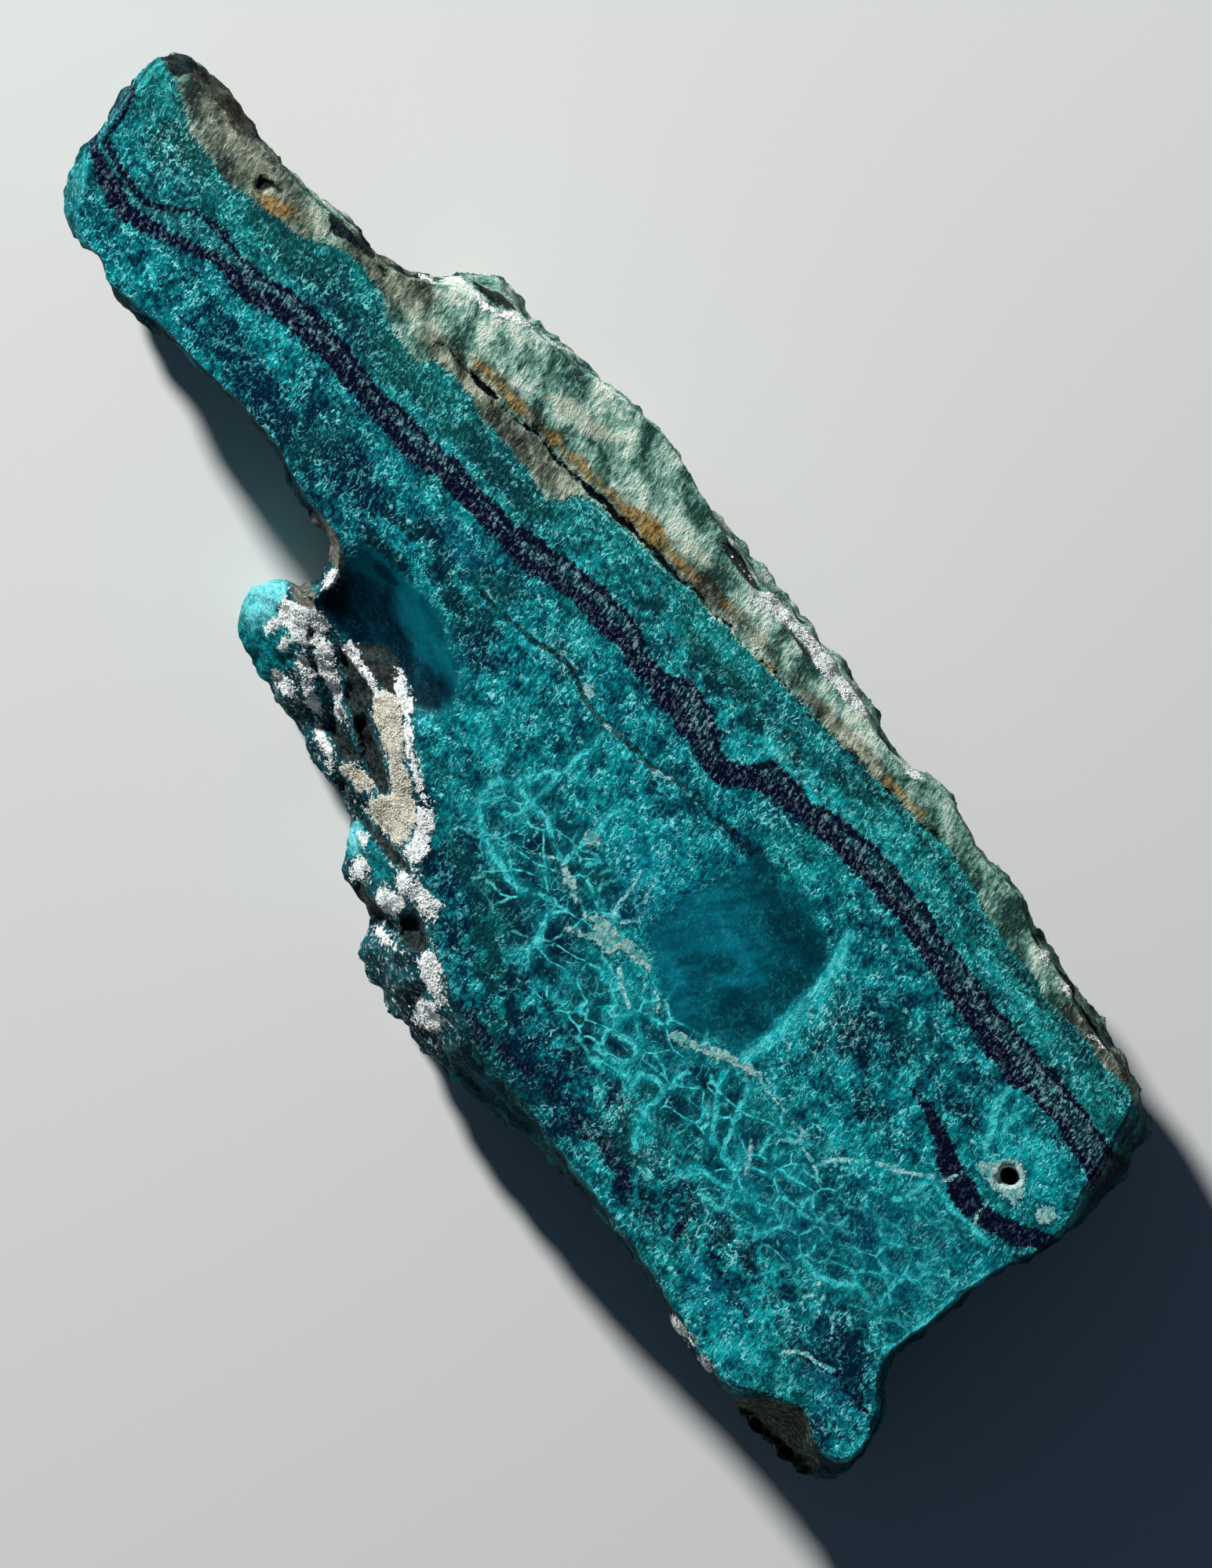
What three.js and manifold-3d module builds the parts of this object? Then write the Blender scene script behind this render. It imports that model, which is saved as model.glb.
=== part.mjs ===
// Chrysocolla specimen: one slab of copper ore, with a flat ground top, broken sides and a
// flat sawn base. Millimetres, +Z up. The finished stone is centred over the middle of its base.
import * as THREE from 'three';
import { mergeVertices } from 'three/addons/utils/BufferGeometryUtils.js';
import { ImprovedNoise } from 'three/addons/math/ImprovedNoise.js';
import Module from 'manifold-3d';

// Driving dimensions
const THICKNESS = 20;            // sawn base to ground top
const WIDEST_NARROW = 0.72;      // where the wall stands widest, as a share of the thickness
const WIDEST_DROP = 0.05;        // and how far that falls for each mm that the slope runs out
const LONGEST_SLOPE = 7;         // the drop stops growing here
const BASE_INSET = 2.4;          // how far the wall tucks in under the stone
const BROW_BREAK = 0.6;          // roughness of the broken wall above its widest line
const LOW_BREAK = 1.7;           // and below it
const BREAK_SIZE = 6;            // width of one broken facet
const FINE_BREAKS = 2.3;         // smaller facets, this many to a large one
const NOISE_OFFSET = 7.3;        // keeps the two sizes of facet from lining up
const STEPS_PER_STATION = 2;     // ring vertices for each station below
const SMOOTHING = 5;             // neighbours averaged for the direction of the tuck

// Stations round the stone, seen from above and going anticlockwise from the tip of the arm.
// Each is [outer edge x, outer edge y, rim of the ground top x, rim y]. The x axis runs along
// the slab, and the drawing's zero is near its middle.
const ARM_TIP = [
  [-64.3, 4.6, -63.5, 4.6], [-64.2, 2.8, -62.9, 2.8], [-63.9, 1.0, -62.9, 1.1],
  [-62.9, -2.0, -62.0, -1.9], [-62.4, -4.2, -61.2, -3.8], [-61.2, -6.1, -60.0, -5.3],
  [-60.0, -7.6, -58.8, -6.6], [-58.2, -8.6, -57.6, -7.7], [-56.4, -8.8, -56.2, -8.0],
];
const ARM_UNDERSIDE = [
  [-54.6, -8.3, -54.6, -7.7], [-53.3, -9.2, -53.1, -8.4], [-51.0, -8.6, -50.8, -8.0],
  [-48.0, -7.9, -47.8, -7.3], [-45.0, -7.4, -44.8, -6.9], [-41.5, -6.8, -41.3, -6.4],
  [-38.0, -6.4, -37.8, -6.0], [-35.2, -6.5, -35.0, -6.0], [-32.5, -7.1, -32.0, -6.4],
  [-29.8, -7.3, -29.2, -6.4],
];
const NOTCH_AND_DRUSE_SLOPE = [
  [-27.4, -7.5, -26.6, -6.9], [-25.9, -9.0, -24.9, -8.3], [-26.2, -11.0, -24.6, -10.0],
  [-28.0, -12.0, -24.4, -10.8], [-28.3, -13.9, -23.2, -11.1], [-27.3, -15.9, -21.6, -11.0],
  [-25.4, -17.1, -19.8, -10.8], [-22.6, -17.6, -18.2, -10.0], [-19.4, -17.8, -16.8, -9.0],
  [-16.2, -18.2, -15.0, -9.3], [-13.0, -18.4, -12.6, -10.7], [-10.8, -18.5, -10.2, -12.2],
  [-9.4, -19.3, -7.6, -13.2], [-8.1, -20.7, -5.7, -14.4], [-6.4, -21.8, -4.5, -15.7],
  [-4.4, -22.2, -3.3, -16.9], [-2.7, -22.5, -1.6, -17.3], [-2.1, -23.7, -0.2, -17.7],
  [-0.9, -24.8, 0.5, -18.9], [2.0, -25.1, 2.2, -19.8], [5.4, -25.2, 4.8, -20.5],
  [8.6, -25.1, 7.8, -21.0], [11.8, -24.7, 11.2, -21.0], [15.4, -24.1, 14.8, -20.7],
];
const LONG_LOWER_SIDE = [
  [18.8, -22.9, 18.6, -20.9], [22.4, -22.0, 22.2, -21.1], [27.0, -21.8, 27.0, -21.0],
  [31.5, -22.1, 31.5, -21.3], [36.0, -22.4, 36.0, -21.8], [40.8, -22.6, 40.6, -21.8],
];
const CORNER_LOBE = [
  [43.2, -22.8, 42.3, -20.7], [45.6, -22.6, 44.3, -19.2], [48.0, -22.3, 46.3, -18.4],
  [50.3, -21.6, 48.4, -18.9], [51.6, -20.2, 50.1, -18.9], [51.8, -18.6, 50.8, -17.9],
  [51.4, -16.8, 50.6, -16.6], [50.7, -14.9, 49.9, -15.1], [49.6, -13.3, 48.8, -13.9],
  [47.9, -12.2, 47.2, -12.7],
];
const BROAD_END = [
  [47.1, -10.2, 46.4, -10.4], [47.0, -7.0, 46.4, -7.2], [46.9, -3.6, 46.1, -3.8],
  [47.1, -0.4, 46.4, -0.6], [47.7, 3.0, 47.0, 2.8], [47.7, 6.0, 46.8, 5.4],
  [47.2, 9.2, 45.5, 8.2], [46.7, 12.2, 44.4, 10.8], [45.9, 14.5, 43.4, 13.4],
  [44.3, 15.8, 42.4, 15.2],
];
const MATRIX_SIDE = [
  [41.0, 16.4, 40.4, 15.8], [37.0, 17.0, 36.8, 15.7], [33.0, 17.4, 33.2, 16.2],
  [29.4, 17.7, 29.6, 16.3], [27.3, 17.5, 27.4, 16.8], [25.0, 18.1, 25.0, 17.6],
  [21.6, 17.8, 21.7, 17.2], [18.8, 18.0, 18.8, 17.5], [16.4, 18.4, 16.4, 17.9],
  [14.2, 18.0, 14.4, 17.4], [12.6, 17.2, 12.8, 16.6], [9.4, 17.3, 9.8, 16.6],
  [6.4, 17.9, 6.6, 16.4], [2.6, 18.1, 3.0, 16.0], [-1.4, 17.8, -1.0, 15.9],
  [-5.4, 17.6, -5.2, 15.5], [-9.0, 17.6, -8.8, 16.3], [-12.0, 17.5, -12.0, 16.9],
  [-15.5, 17.9, -15.3, 17.3], [-19.0, 18.0, -18.8, 17.3], [-23.0, 17.2, -22.8, 16.6],
  [-26.6, 16.4, -26.0, 15.5], [-31.0, 15.6, -30.2, 14.6], [-34.2, 15.3, -32.8, 13.5],
  [-36.5, 14.6, -34.7, 12.4], [-37.6, 13.0, -36.8, 11.8], [-38.6, 11.2, -38.0, 10.8],
];
const ARM_UPPER_SIDE = [
  [-40.0, 10.2, -39.4, 9.5], [-42.4, 9.5, -41.6, 8.4], [-45.2, 8.7, -44.8, 7.9],
  [-48.2, 7.9, -48.0, 7.3], [-52.0, 7.5, -52.0, 6.9], [-56.0, 7.3, -56.0, 6.2],
  [-59.4, 7.4, -59.0, 5.9], [-61.8, 7.0, -61.2, 5.7], [-63.6, 6.2, -62.8, 5.4],
];
const STATIONS = [
  ...ARM_TIP, ...ARM_UNDERSIDE, ...NOTCH_AND_DRUSE_SLOPE, ...LONG_LOWER_SIDE,
  ...CORNER_LOBE, ...BROAD_END, ...MATRIX_SIDE, ...ARM_UPPER_SIDE,
];

// Hollows that open in the top or the slope: centre, half sizes and turn about Z in degrees.
// A centre's height is measured from the ground top, so below it is negative.
const HOLLOWS = [
  // the smooth blue hollow that dips from the top into the notch
  { centre: [-20.5, -10.4, 1.4], half: [9.2, 6.6, 5.4], turn: -8 },
  // the open pit behind the white ridge
  { centre: [-13.6, -14.4, -3.6], half: [4.4, 1.7, 3.0], turn: -20 },
  // the groove below the ridge
  { centre: [-8.0, -17.6, -6.6], half: [5.0, 0.9, 2.6], turn: -4 },
  // the dark cavity on the second druse lump
  { centre: [0.2, -20.1, -1.6], half: [1.6, 1.1, 3.4], turn: 0 },
  // the brown scoop under the corner lobe
  { centre: [46.9, -22.8, -2.4], half: [4.2, 3.6, 4.6], turn: 10 },
];

// The small natural hole near the broad end
const HOLE = { x: 41.5, y: 4.3, topRadius: 0.8, bottomRadius: 0.45, depth: 6 };
const HOLE_SIDES = 14;
const HOLLOW_SIDES = 30;

// Profile of the wall, from the rim down. "out" runs from the rim, 0, to the outer edge, 1.
const BROW = [0, 0.35, 0.7, 1];
// Below the widest line: [share of the way down to the base, share of the base inset]
const UNDERCUT = [[0.35, 0.06], [0.65, 0.3], [0.88, 0.66], [1, 1]];

const curveThrough = (first) => new THREE.CatmullRomCurve3(
  STATIONS.map((station) => new THREE.Vector3(station[first], station[first + 1], 0)),
  true,
  'centripetal',
);

function pointsAlong(curve) {
  const count = STATIONS.length * STEPS_PER_STATION;
  return Array.from({ length: count }, (_, i) => curve.getPoint(i / count));
}

// Inward direction at each ring point, averaged so that tight corners don't cross over
function inwardDirections(ring) {
  const count = ring.length;
  const at = (i) => ring[(i + count) % count];
  return ring.map((_, i) => {
    const along = at(i + SMOOTHING).clone().sub(at(i - SMOOTHING));
    return new THREE.Vector3(-along.y, along.x, 0).normalize();
  });
}

const noise = new ImprovedNoise();

// Share of the break depth knocked off here, from 0 to 1: never outside the outer edge
function chipped(point) {
  const large = point.clone().divideScalar(BREAK_SIZE);
  const small = large.clone().multiplyScalar(FINE_BREAKS).addScalar(NOISE_OFFSET);
  const share = 1.6 * Math.abs(noise.noise(large.x, large.y, large.z))
    + 0.7 * Math.abs(noise.noise(small.x, small.y, small.z));
  return Math.min(1, share);
}

// Rings of points from the rim of the top down to the edge of the base
function wallRings() {
  const edge = pointsAlong(curveThrough(0));
  const rim = pointsAlong(curveThrough(2));
  const inward = inwardDirections(edge);
  const widest = edge.map((point, i) => {
    const slope = Math.min(LONGEST_SLOPE, point.distanceTo(rim[i]));
    return THICKNESS * (WIDEST_NARROW - WIDEST_DROP * slope);
  });

  const brow = BROW.map((out) => rim.map((start, i) => {
    const point = start.clone().lerp(edge[i], out);
    point.z = widest[i] + (THICKNESS - widest[i]) * Math.cos(out * Math.PI / 2);
    return point.addScaledVector(inward[i], out * BROW_BREAK * chipped(point));
  }));
  const undercut = UNDERCUT.map(([down, tuck]) => edge.map((start, i) => {
    const point = start.clone();
    point.z = widest[i] * (1 - down);
    return point.addScaledVector(inward[i], tuck * BASE_INSET + LOW_BREAK * chipped(point));
  }));
  return [...brow, ...undercut];
}

// Joins the rings into one closed body with a flat top and a flat base
function slabGeometry() {
  const rings = wallRings();
  const count = rings[0].length;
  const positions = rings.flat().flatMap((point) => [point.x, point.y, point.z]);
  const triangles = [];

  for (let level = 0; level < rings.length - 1; level += 1) {
    for (let i = 0; i < count; i += 1) {
      const next = (i + 1) % count;
      const [a, b] = [level * count + i, level * count + next];
      const [c, d] = [a + count, b + count];
      triangles.push(a, c, b, b, c, d);
    }
  }

  const flatten = (ring) => ring.map((point) => new THREE.Vector2(point.x, point.y));
  const lastRing = (rings.length - 1) * count;
  for (const [a, b, c] of THREE.ShapeUtils.triangulateShape(flatten(rings[0]), [])) {
    triangles.push(a, b, c);
  }
  for (const [a, b, c] of THREE.ShapeUtils.triangulateShape(flatten(rings.at(-1)), [])) {
    triangles.push(lastRing + a, lastRing + c, lastRing + b);
  }

  const geometry = new THREE.BufferGeometry();
  geometry.setAttribute('position', new THREE.Float32BufferAttribute(positions, 3));
  geometry.setIndex(triangles);
  return geometry;
}

function hollowGeometry({ centre, half, turn }) {
  const geometry = new THREE.SphereGeometry(1, HOLLOW_SIDES, HOLLOW_SIDES * 0.6);
  geometry.rotateX(Math.PI / 2);
  geometry.scale(...half);
  geometry.rotateZ(THREE.MathUtils.degToRad(turn));
  geometry.translate(centre[0], centre[1], THICKNESS + centre[2]);
  return geometry;
}

function holeGeometry({ x, y, topRadius, bottomRadius, depth }) {
  const mouth = 1;
  const geometry = new THREE.CylinderGeometry(topRadius, bottomRadius, depth + mouth, HOLE_SIDES);
  geometry.rotateX(Math.PI / 2);
  geometry.translate(x, y, THICKNESS + (mouth - depth) / 2);
  return geometry;
}

const wasm = await Module();
wasm.setup();

function solidFrom(geometry) {
  const bare = geometry.clone();
  bare.deleteAttribute('normal');
  bare.deleteAttribute('uv');
  const merged = mergeVertices(bare, 1e-5);
  return new wasm.Manifold(new wasm.Mesh({
    numProp: 3,
    vertProperties: new Float32Array(merged.attributes.position.array),
    triVerts: new Uint32Array(merged.index.array),
  }));
}

function geometryFrom(solid) {
  const mesh = solid.getMesh();
  const geometry = new THREE.BufferGeometry();
  geometry.setAttribute('position', new THREE.BufferAttribute(mesh.vertProperties, 3));
  geometry.setIndex(new THREE.BufferAttribute(mesh.triVerts, 1));
  return geometry;
}

function centredOverBase(geometry) {
  geometry.computeBoundingBox();
  const middle = geometry.boundingBox.getCenter(new THREE.Vector3());
  geometry.translate(-middle.x, -middle.y, -geometry.boundingBox.min.z);
  geometry.computeVertexNormals();
  return geometry;
}

const cuts = [...HOLLOWS.map(hollowGeometry), holeGeometry(HOLE)];
const stone = cuts.reduce((solid, cut) => solid.subtract(solidFrom(cut)), solidFrom(slabGeometry()));

const slab = new THREE.Mesh(
  centredOverBase(geometryFrom(stone)),
  new THREE.MeshStandardMaterial({ color: 0x0f7478, roughness: 0.62, metalness: 0 }),
);
slab.name = 'chrysocolla_slab';

const specimen = new THREE.Group();
specimen.add(slab);

export default specimen;
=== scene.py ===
# %% [markdown]
# # A slab of chrysocolla
#
# Chrysocolla is a blue-green copper mineral. This specimen is a long slab that was sawn flat
# underneath and ground flat on top, so its banding shows, while its sides stayed as they broke.
# One flank holds a hollow lined with sugary white quartz. The whole stone grew as one piece, so
# it is one mesh, with the quartz crystals that stand on it as a second one.
#
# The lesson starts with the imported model, which fixes the size and place of everything.

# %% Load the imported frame
import math

import bpy
import numpy as np
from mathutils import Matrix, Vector, noise
from mathutils.geometry import delaunay_2d_cdt


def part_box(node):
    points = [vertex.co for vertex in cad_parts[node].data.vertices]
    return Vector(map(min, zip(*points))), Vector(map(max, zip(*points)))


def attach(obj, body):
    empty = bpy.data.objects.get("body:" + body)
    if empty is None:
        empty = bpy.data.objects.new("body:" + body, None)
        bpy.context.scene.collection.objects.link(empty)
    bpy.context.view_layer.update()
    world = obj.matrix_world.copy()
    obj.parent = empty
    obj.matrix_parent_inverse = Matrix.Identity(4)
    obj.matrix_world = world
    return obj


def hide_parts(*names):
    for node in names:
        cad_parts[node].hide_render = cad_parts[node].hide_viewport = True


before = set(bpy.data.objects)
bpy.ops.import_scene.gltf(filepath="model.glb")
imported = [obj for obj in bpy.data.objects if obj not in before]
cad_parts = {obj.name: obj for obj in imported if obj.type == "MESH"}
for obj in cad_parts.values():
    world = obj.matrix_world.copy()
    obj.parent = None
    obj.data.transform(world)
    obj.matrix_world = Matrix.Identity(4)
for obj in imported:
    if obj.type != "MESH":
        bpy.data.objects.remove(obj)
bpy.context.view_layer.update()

low, high = (Vector(corner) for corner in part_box("chrysocolla_slab"))
MM = 0.001
TOP = (high.z - low.z) / MM
print("slab box in mm:", [round(side / MM, 1) for side in high - low])

# %% [markdown]
# ## The outline
#
# A broken stone has no formula, so its outline is a list of stations. Each one
# holds a point on the outer edge and the point on the rim of the ground top beside it. Both lines
# are smooth curves through those points, in millimetres, with X along the slab. The same list
# made the solid, so the fine mesh lies where the solid does.

# %% Stations round the stone
ARM_TIP = [
    (-64.3, 4.6, -63.5, 4.6), (-64.2, 2.8, -62.9, 2.8), (-63.9, 1.0, -62.9, 1.1),
    (-62.9, -2.0, -62.0, -1.9), (-62.4, -4.2, -61.2, -3.8), (-61.2, -6.1, -60.0, -5.3),
    (-60.0, -7.6, -58.8, -6.6), (-58.2, -8.6, -57.6, -7.7), (-56.4, -8.8, -56.2, -8.0),
]
ARM_UNDERSIDE = [
    (-54.6, -8.3, -54.6, -7.7), (-53.3, -9.2, -53.1, -8.4), (-51.0, -8.6, -50.8, -8.0),
    (-48.0, -7.9, -47.8, -7.3), (-45.0, -7.4, -44.8, -6.9), (-41.5, -6.8, -41.3, -6.4),
    (-38.0, -6.4, -37.8, -6.0), (-35.2, -6.5, -35.0, -6.0), (-32.5, -7.1, -32.0, -6.4),
    (-29.8, -7.3, -29.2, -6.4),
]
NOTCH_AND_DRUSE_SLOPE = [
    (-27.4, -7.5, -26.6, -6.9), (-25.9, -9.0, -24.9, -8.3), (-26.2, -11.0, -24.6, -10.0),
    (-28.0, -12.0, -24.4, -10.8), (-28.3, -13.9, -23.2, -11.1), (-27.3, -15.9, -21.6, -11.0),
    (-25.4, -17.1, -19.8, -10.8), (-22.6, -17.6, -18.2, -10.0), (-19.4, -17.8, -16.8, -9.0),
    (-16.2, -18.2, -15.0, -9.3), (-13.0, -18.4, -12.6, -10.7), (-10.8, -18.5, -10.2, -12.2),
    (-9.4, -19.3, -7.6, -13.2), (-8.1, -20.7, -5.7, -14.4), (-6.4, -21.8, -4.5, -15.7),
    (-4.4, -22.2, -3.3, -16.9), (-2.7, -22.5, -1.6, -17.3), (-2.1, -23.7, -0.2, -17.7),
    (-0.9, -24.8, 0.5, -18.9), (2.0, -25.1, 2.2, -19.8), (5.4, -25.2, 4.8, -20.5),
    (8.6, -25.1, 7.8, -21.0), (11.8, -24.7, 11.2, -21.0), (15.4, -24.1, 14.8, -20.7),
]
LONG_LOWER_SIDE = [
    (18.8, -22.9, 18.6, -20.9), (22.4, -22.0, 22.2, -21.1), (27.0, -21.8, 27.0, -21.0),
    (31.5, -22.1, 31.5, -21.3), (36.0, -22.4, 36.0, -21.8), (40.8, -22.6, 40.6, -21.8),
]
CORNER_LOBE = [
    (43.2, -22.8, 42.3, -20.7), (45.6, -22.6, 44.3, -19.2), (48.0, -22.3, 46.3, -18.4),
    (50.3, -21.6, 48.4, -18.9), (51.6, -20.2, 50.1, -18.9), (51.8, -18.6, 50.8, -17.9),
    (51.4, -16.8, 50.6, -16.6), (50.7, -14.9, 49.9, -15.1), (49.6, -13.3, 48.8, -13.9),
    (47.9, -12.2, 47.2, -12.7),
]
BROAD_END = [
    (47.1, -10.2, 46.4, -10.4), (47.0, -7.0, 46.4, -7.2), (46.9, -3.6, 46.1, -3.8),
    (47.1, -0.4, 46.4, -0.6), (47.7, 3.0, 47.0, 2.8), (47.7, 6.0, 46.8, 5.4),
    (47.2, 9.2, 45.5, 8.2), (46.7, 12.2, 44.4, 10.8), (45.9, 14.5, 43.4, 13.4),
    (44.3, 15.8, 42.4, 15.2),
]
MATRIX_SIDE = [
    (41.0, 16.4, 40.4, 15.8), (37.0, 17.0, 36.8, 15.7), (33.0, 17.4, 33.2, 16.2),
    (29.4, 17.7, 29.6, 16.3), (27.3, 17.5, 27.4, 16.8), (25.0, 18.1, 25.0, 17.6),
    (21.6, 17.8, 21.7, 17.2), (18.8, 18.0, 18.8, 17.5), (16.4, 18.4, 16.4, 17.9),
    (14.2, 18.0, 14.4, 17.4), (12.6, 17.2, 12.8, 16.6), (9.4, 17.3, 9.8, 16.6),
    (6.4, 17.9, 6.6, 16.4), (2.6, 18.1, 3.0, 16.0), (-1.4, 17.8, -1.0, 15.9),
    (-5.4, 17.6, -5.2, 15.5), (-9.0, 17.6, -8.8, 16.3), (-12.0, 17.5, -12.0, 16.9),
    (-15.5, 17.9, -15.3, 17.3), (-19.0, 18.0, -18.8, 17.3), (-23.0, 17.2, -22.8, 16.6),
    (-26.6, 16.4, -26.0, 15.5), (-31.0, 15.6, -30.2, 14.6), (-34.2, 15.3, -32.8, 13.5),
    (-36.5, 14.6, -34.7, 12.4), (-37.6, 13.0, -36.8, 11.8), (-38.6, 11.2, -38.0, 10.8),
]
ARM_UPPER_SIDE = [
    (-40.0, 10.2, -39.4, 9.5), (-42.4, 9.5, -41.6, 8.4), (-45.2, 8.7, -44.8, 7.9),
    (-48.2, 7.9, -48.0, 7.3), (-52.0, 7.5, -52.0, 6.9), (-56.0, 7.3, -56.0, 6.2),
    (-59.4, 7.4, -59.0, 5.9), (-61.8, 7.0, -61.2, 5.7), (-63.6, 6.2, -62.8, 5.4),
]
stations = np.array(
    ARM_TIP + ARM_UNDERSIDE + NOTCH_AND_DRUSE_SLOPE + LONG_LOWER_SIDE
    + CORNER_LOBE + BROAD_END + MATRIX_SIDE + ARM_UPPER_SIDE
)
print("stations:", len(stations))

# %% [markdown]
# A Catmull-Rom curve passes through every point it is given. The centripetal kind takes the
# square root of each gap as its step, which keeps it from looping where two points lie close.


# %% A smooth curve through points
def smooth_curve(points, closed, per_gap):
    """Points along a centripetal Catmull-Rom curve, per_gap of them for each gap."""
    points = np.asarray(points, float)
    if closed:
        padded = np.vstack([points[-1:], points, points[:2]])
    else:
        before, after = 2 * points[0] - points[1], 2 * points[-1] - points[-2]
        padded = np.vstack([before, points, after])
    a, b, c, d = padded[:-3], padded[1:-2], padded[2:-1], padded[3:]
    step = [np.linalg.norm(q - p, axis=1)[:, None] ** 0.5 for p, q in ((a, b), (b, c), (c, d))]
    leave = (b - a) / step[0] - (c - a) / (step[0] + step[1]) + (c - b) / step[1]
    arrive = (c - b) / step[1] - (d - b) / (step[1] + step[2]) + (d - c) / step[2]
    leave, arrive = leave * step[1], arrive * step[1]
    t = (np.arange(per_gap) / per_gap)[None, :, None]
    b, c, leave, arrive = b[:, None], c[:, None], leave[:, None], arrive[:, None]
    curve = (
        (2 * t**3 - 3 * t**2 + 1) * b + (t**3 - 2 * t**2 + t) * leave
        + (3 * t**2 - 2 * t**3) * c + (t**3 - t**2) * arrive
    ).reshape(-1, points.shape[1])
    return curve if closed else np.vstack([curve, points[-1:]])


def smoothstep(start, end, value):
    """0 before start, 1 after end and an S-shaped rise between."""
    t = np.clip((value - start) / (end - start), 0, 1)
    return t * t * (3 - 2 * t)


print("a quarter of the way along, the rise is at", smoothstep(0, 4, 1))


# %% [markdown]
# The two curves need the same number of points, so that they can be joined by quads. They are
# walked together in equal steps of whichever is the longer there.

# %% Walk round the edge and the rim together
RING_STEP = 0.38
POINTS_PER_GAP = 24
dense_edge = smooth_curve(stations[:, :2], closed=True, per_gap=POINTS_PER_GAP)
dense_rim = smooth_curve(stations[:, 2:], closed=True, per_gap=POINTS_PER_GAP)


def closed_steps(ring):
    """Length of each side of a closed ring."""
    return np.linalg.norm(np.roll(ring, -1, axis=0) - ring, axis=1)


longer_steps = np.maximum(closed_steps(dense_edge), closed_steps(dense_rim))
walked = np.concatenate([[0], np.cumsum(longer_steps)])
ring_count = int(walked[-1] / RING_STEP)
stops = np.arange(ring_count) * walked[-1] / ring_count


def walk(ring):
    """The ring's points at the shared stops."""
    looped = np.vstack([ring, ring[:1]])
    return np.column_stack([np.interp(stops, walked, looped[:, axis]) for axis in (0, 1)])


edge, rim = walk(dense_edge), walk(dense_rim)
print("points in a ring:", ring_count)

# %% [markdown]
# A saw or a grinding lap leaves a rim that is chipped in small bites. Fractal noise gives bites of
# several sizes at once. It is read at each point's own place, so the result is the same each run.

# %% Noise at many points
FALL_OFF = 1.0
OCTAVE_STEP = 2.0


def fractal(points, size, octaves=3, part=0.0):
    """Noise from about -1 to 1; size is its largest lumps' width, part picks where it is read."""
    places = np.asarray(points, float) / size + part
    if places.shape[1] == 2:
        places = np.column_stack([places, np.full(len(places), part)])
    return np.array([
        noise.fractal(place, FALL_OFF, OCTAVE_STEP, octaves) for place in places.tolist()
    ])


print("noise at the first three points:", fractal(edge[:3], 1.0).round(2))


def inward_directions(ring, reach):
    """Unit directions into the stone, smoothed over reach points either way."""
    along = np.roll(ring, -reach, axis=0) - np.roll(ring, reach, axis=0)
    inward = np.column_stack([-along[:, 1], along[:, 0]])
    return inward / np.linalg.norm(inward, axis=1)[:, None]


# %% [markdown]
# The bites go inwards. The rim hardly ever stands out past its line, because the lap wore that
# off, so its noise is cut short on the outer side. The outer edge gets crumbs as well.

# %% Chip the rim and the outer edge
RIM_CHIP, RIM_CHIP_SIZE, RIM_OUTWARD = 0.26, 1.6, 0.15
EDGE_CHIP, EDGE_CHIP_SIZE, EDGE_OUTWARD = 0.3, 2.2, 0.3
EDGE_CRUMB, EDGE_CRUMB_SIZE = 0.14, 0.9
inward = inward_directions(edge, reach=8)
rim_bite = np.maximum(fractal(rim, RIM_CHIP_SIZE, 4, part=3.1), -RIM_OUTWARD)
edge_bite = fractal(edge, EDGE_CHIP_SIZE, 4, part=9.4) - EDGE_OUTWARD
edge_crumb = fractal(edge, EDGE_CRUMB_SIZE, 2, part=14.2)
rim = rim + inward * (RIM_CHIP * rim_bite)[:, None]
edge = edge + inward * (EDGE_CHIP * edge_bite + EDGE_CRUMB * edge_crumb)[:, None]
print("the edge is bitten by up to", round(float(EDGE_CHIP * edge_bite.max()), 2), "mm")

# %% [markdown]
# The stations were drawn about an origin of their own. The whole drawing is moved so that its
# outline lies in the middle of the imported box.

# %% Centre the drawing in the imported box
box_middle = np.array([low.x + high.x, low.y + high.y]) / 2 / MM
shift = box_middle - (edge.min(0) + edge.max(0)) / 2
print("drawing moved by", shift.round(2), "mm to centre it in the box")

# %% [markdown]
# ## Where each marking runs
#
# The bands, veins and cracks are lines in the rock, so each is a short list of points that a
# smooth curve passes through. A shader can't hold a curve, but it can read a number that is stored
# on each vertex, and a distance stays true between vertices because it changes evenly. So each
# line is stored as the distance to it, and the shader decides how wide and how ragged it is.

# %% The bands and cracks
MAIN_BAND = [
    (-64.4, -0.8), (-63.2, -2.2), (-62.2, -3.2), (-60, -3.7), (-58, -4.2), (-56.5, -4.3),
    (-54.5, -3.6), (-52.5, -2.8), (-51, -2), (-49.5, -1.1), (-47.5, -0.9), (-45.5, -0.8),
    (-44, 0.1), (-42, 0.6), (-40, 1), (-36, 1.4), (-31, 1.6), (-28, 1.9), (-26, 2.5), (-22, 3.1),
    (-18, 3.5), (-16, 4), (-14, 4.7), (-12, 5.2), (-8, 5.5), (-4, 5.6), (0, 5.5), (3.5, 5.3),
    (5, 6.2), (6, 7), (7.5, 7.8), (9, 8.3), (12, 9), (16, 9.5), (20, 9.8), (24, 9.7), (30, 9.3),
    (34, 9.2), (37, 9.4), (40, 9.7), (44, 9.5), (48, 8.6),
]
MAIN_WIDTHS = [
    (-63, 0.35), (-58, 0.75), (-52, 0.45), (-46, 0.6), (-38, 0.55), (-24, 0.5), (-12, 0.65),
    (-4, 0.6), (2, 0.45), (5, 0.8), (12, 0.6), (22, 0.5), (28, 0.65), (35, 0.75), (39, 0.3),
    (46, 0.4),
]
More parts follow.
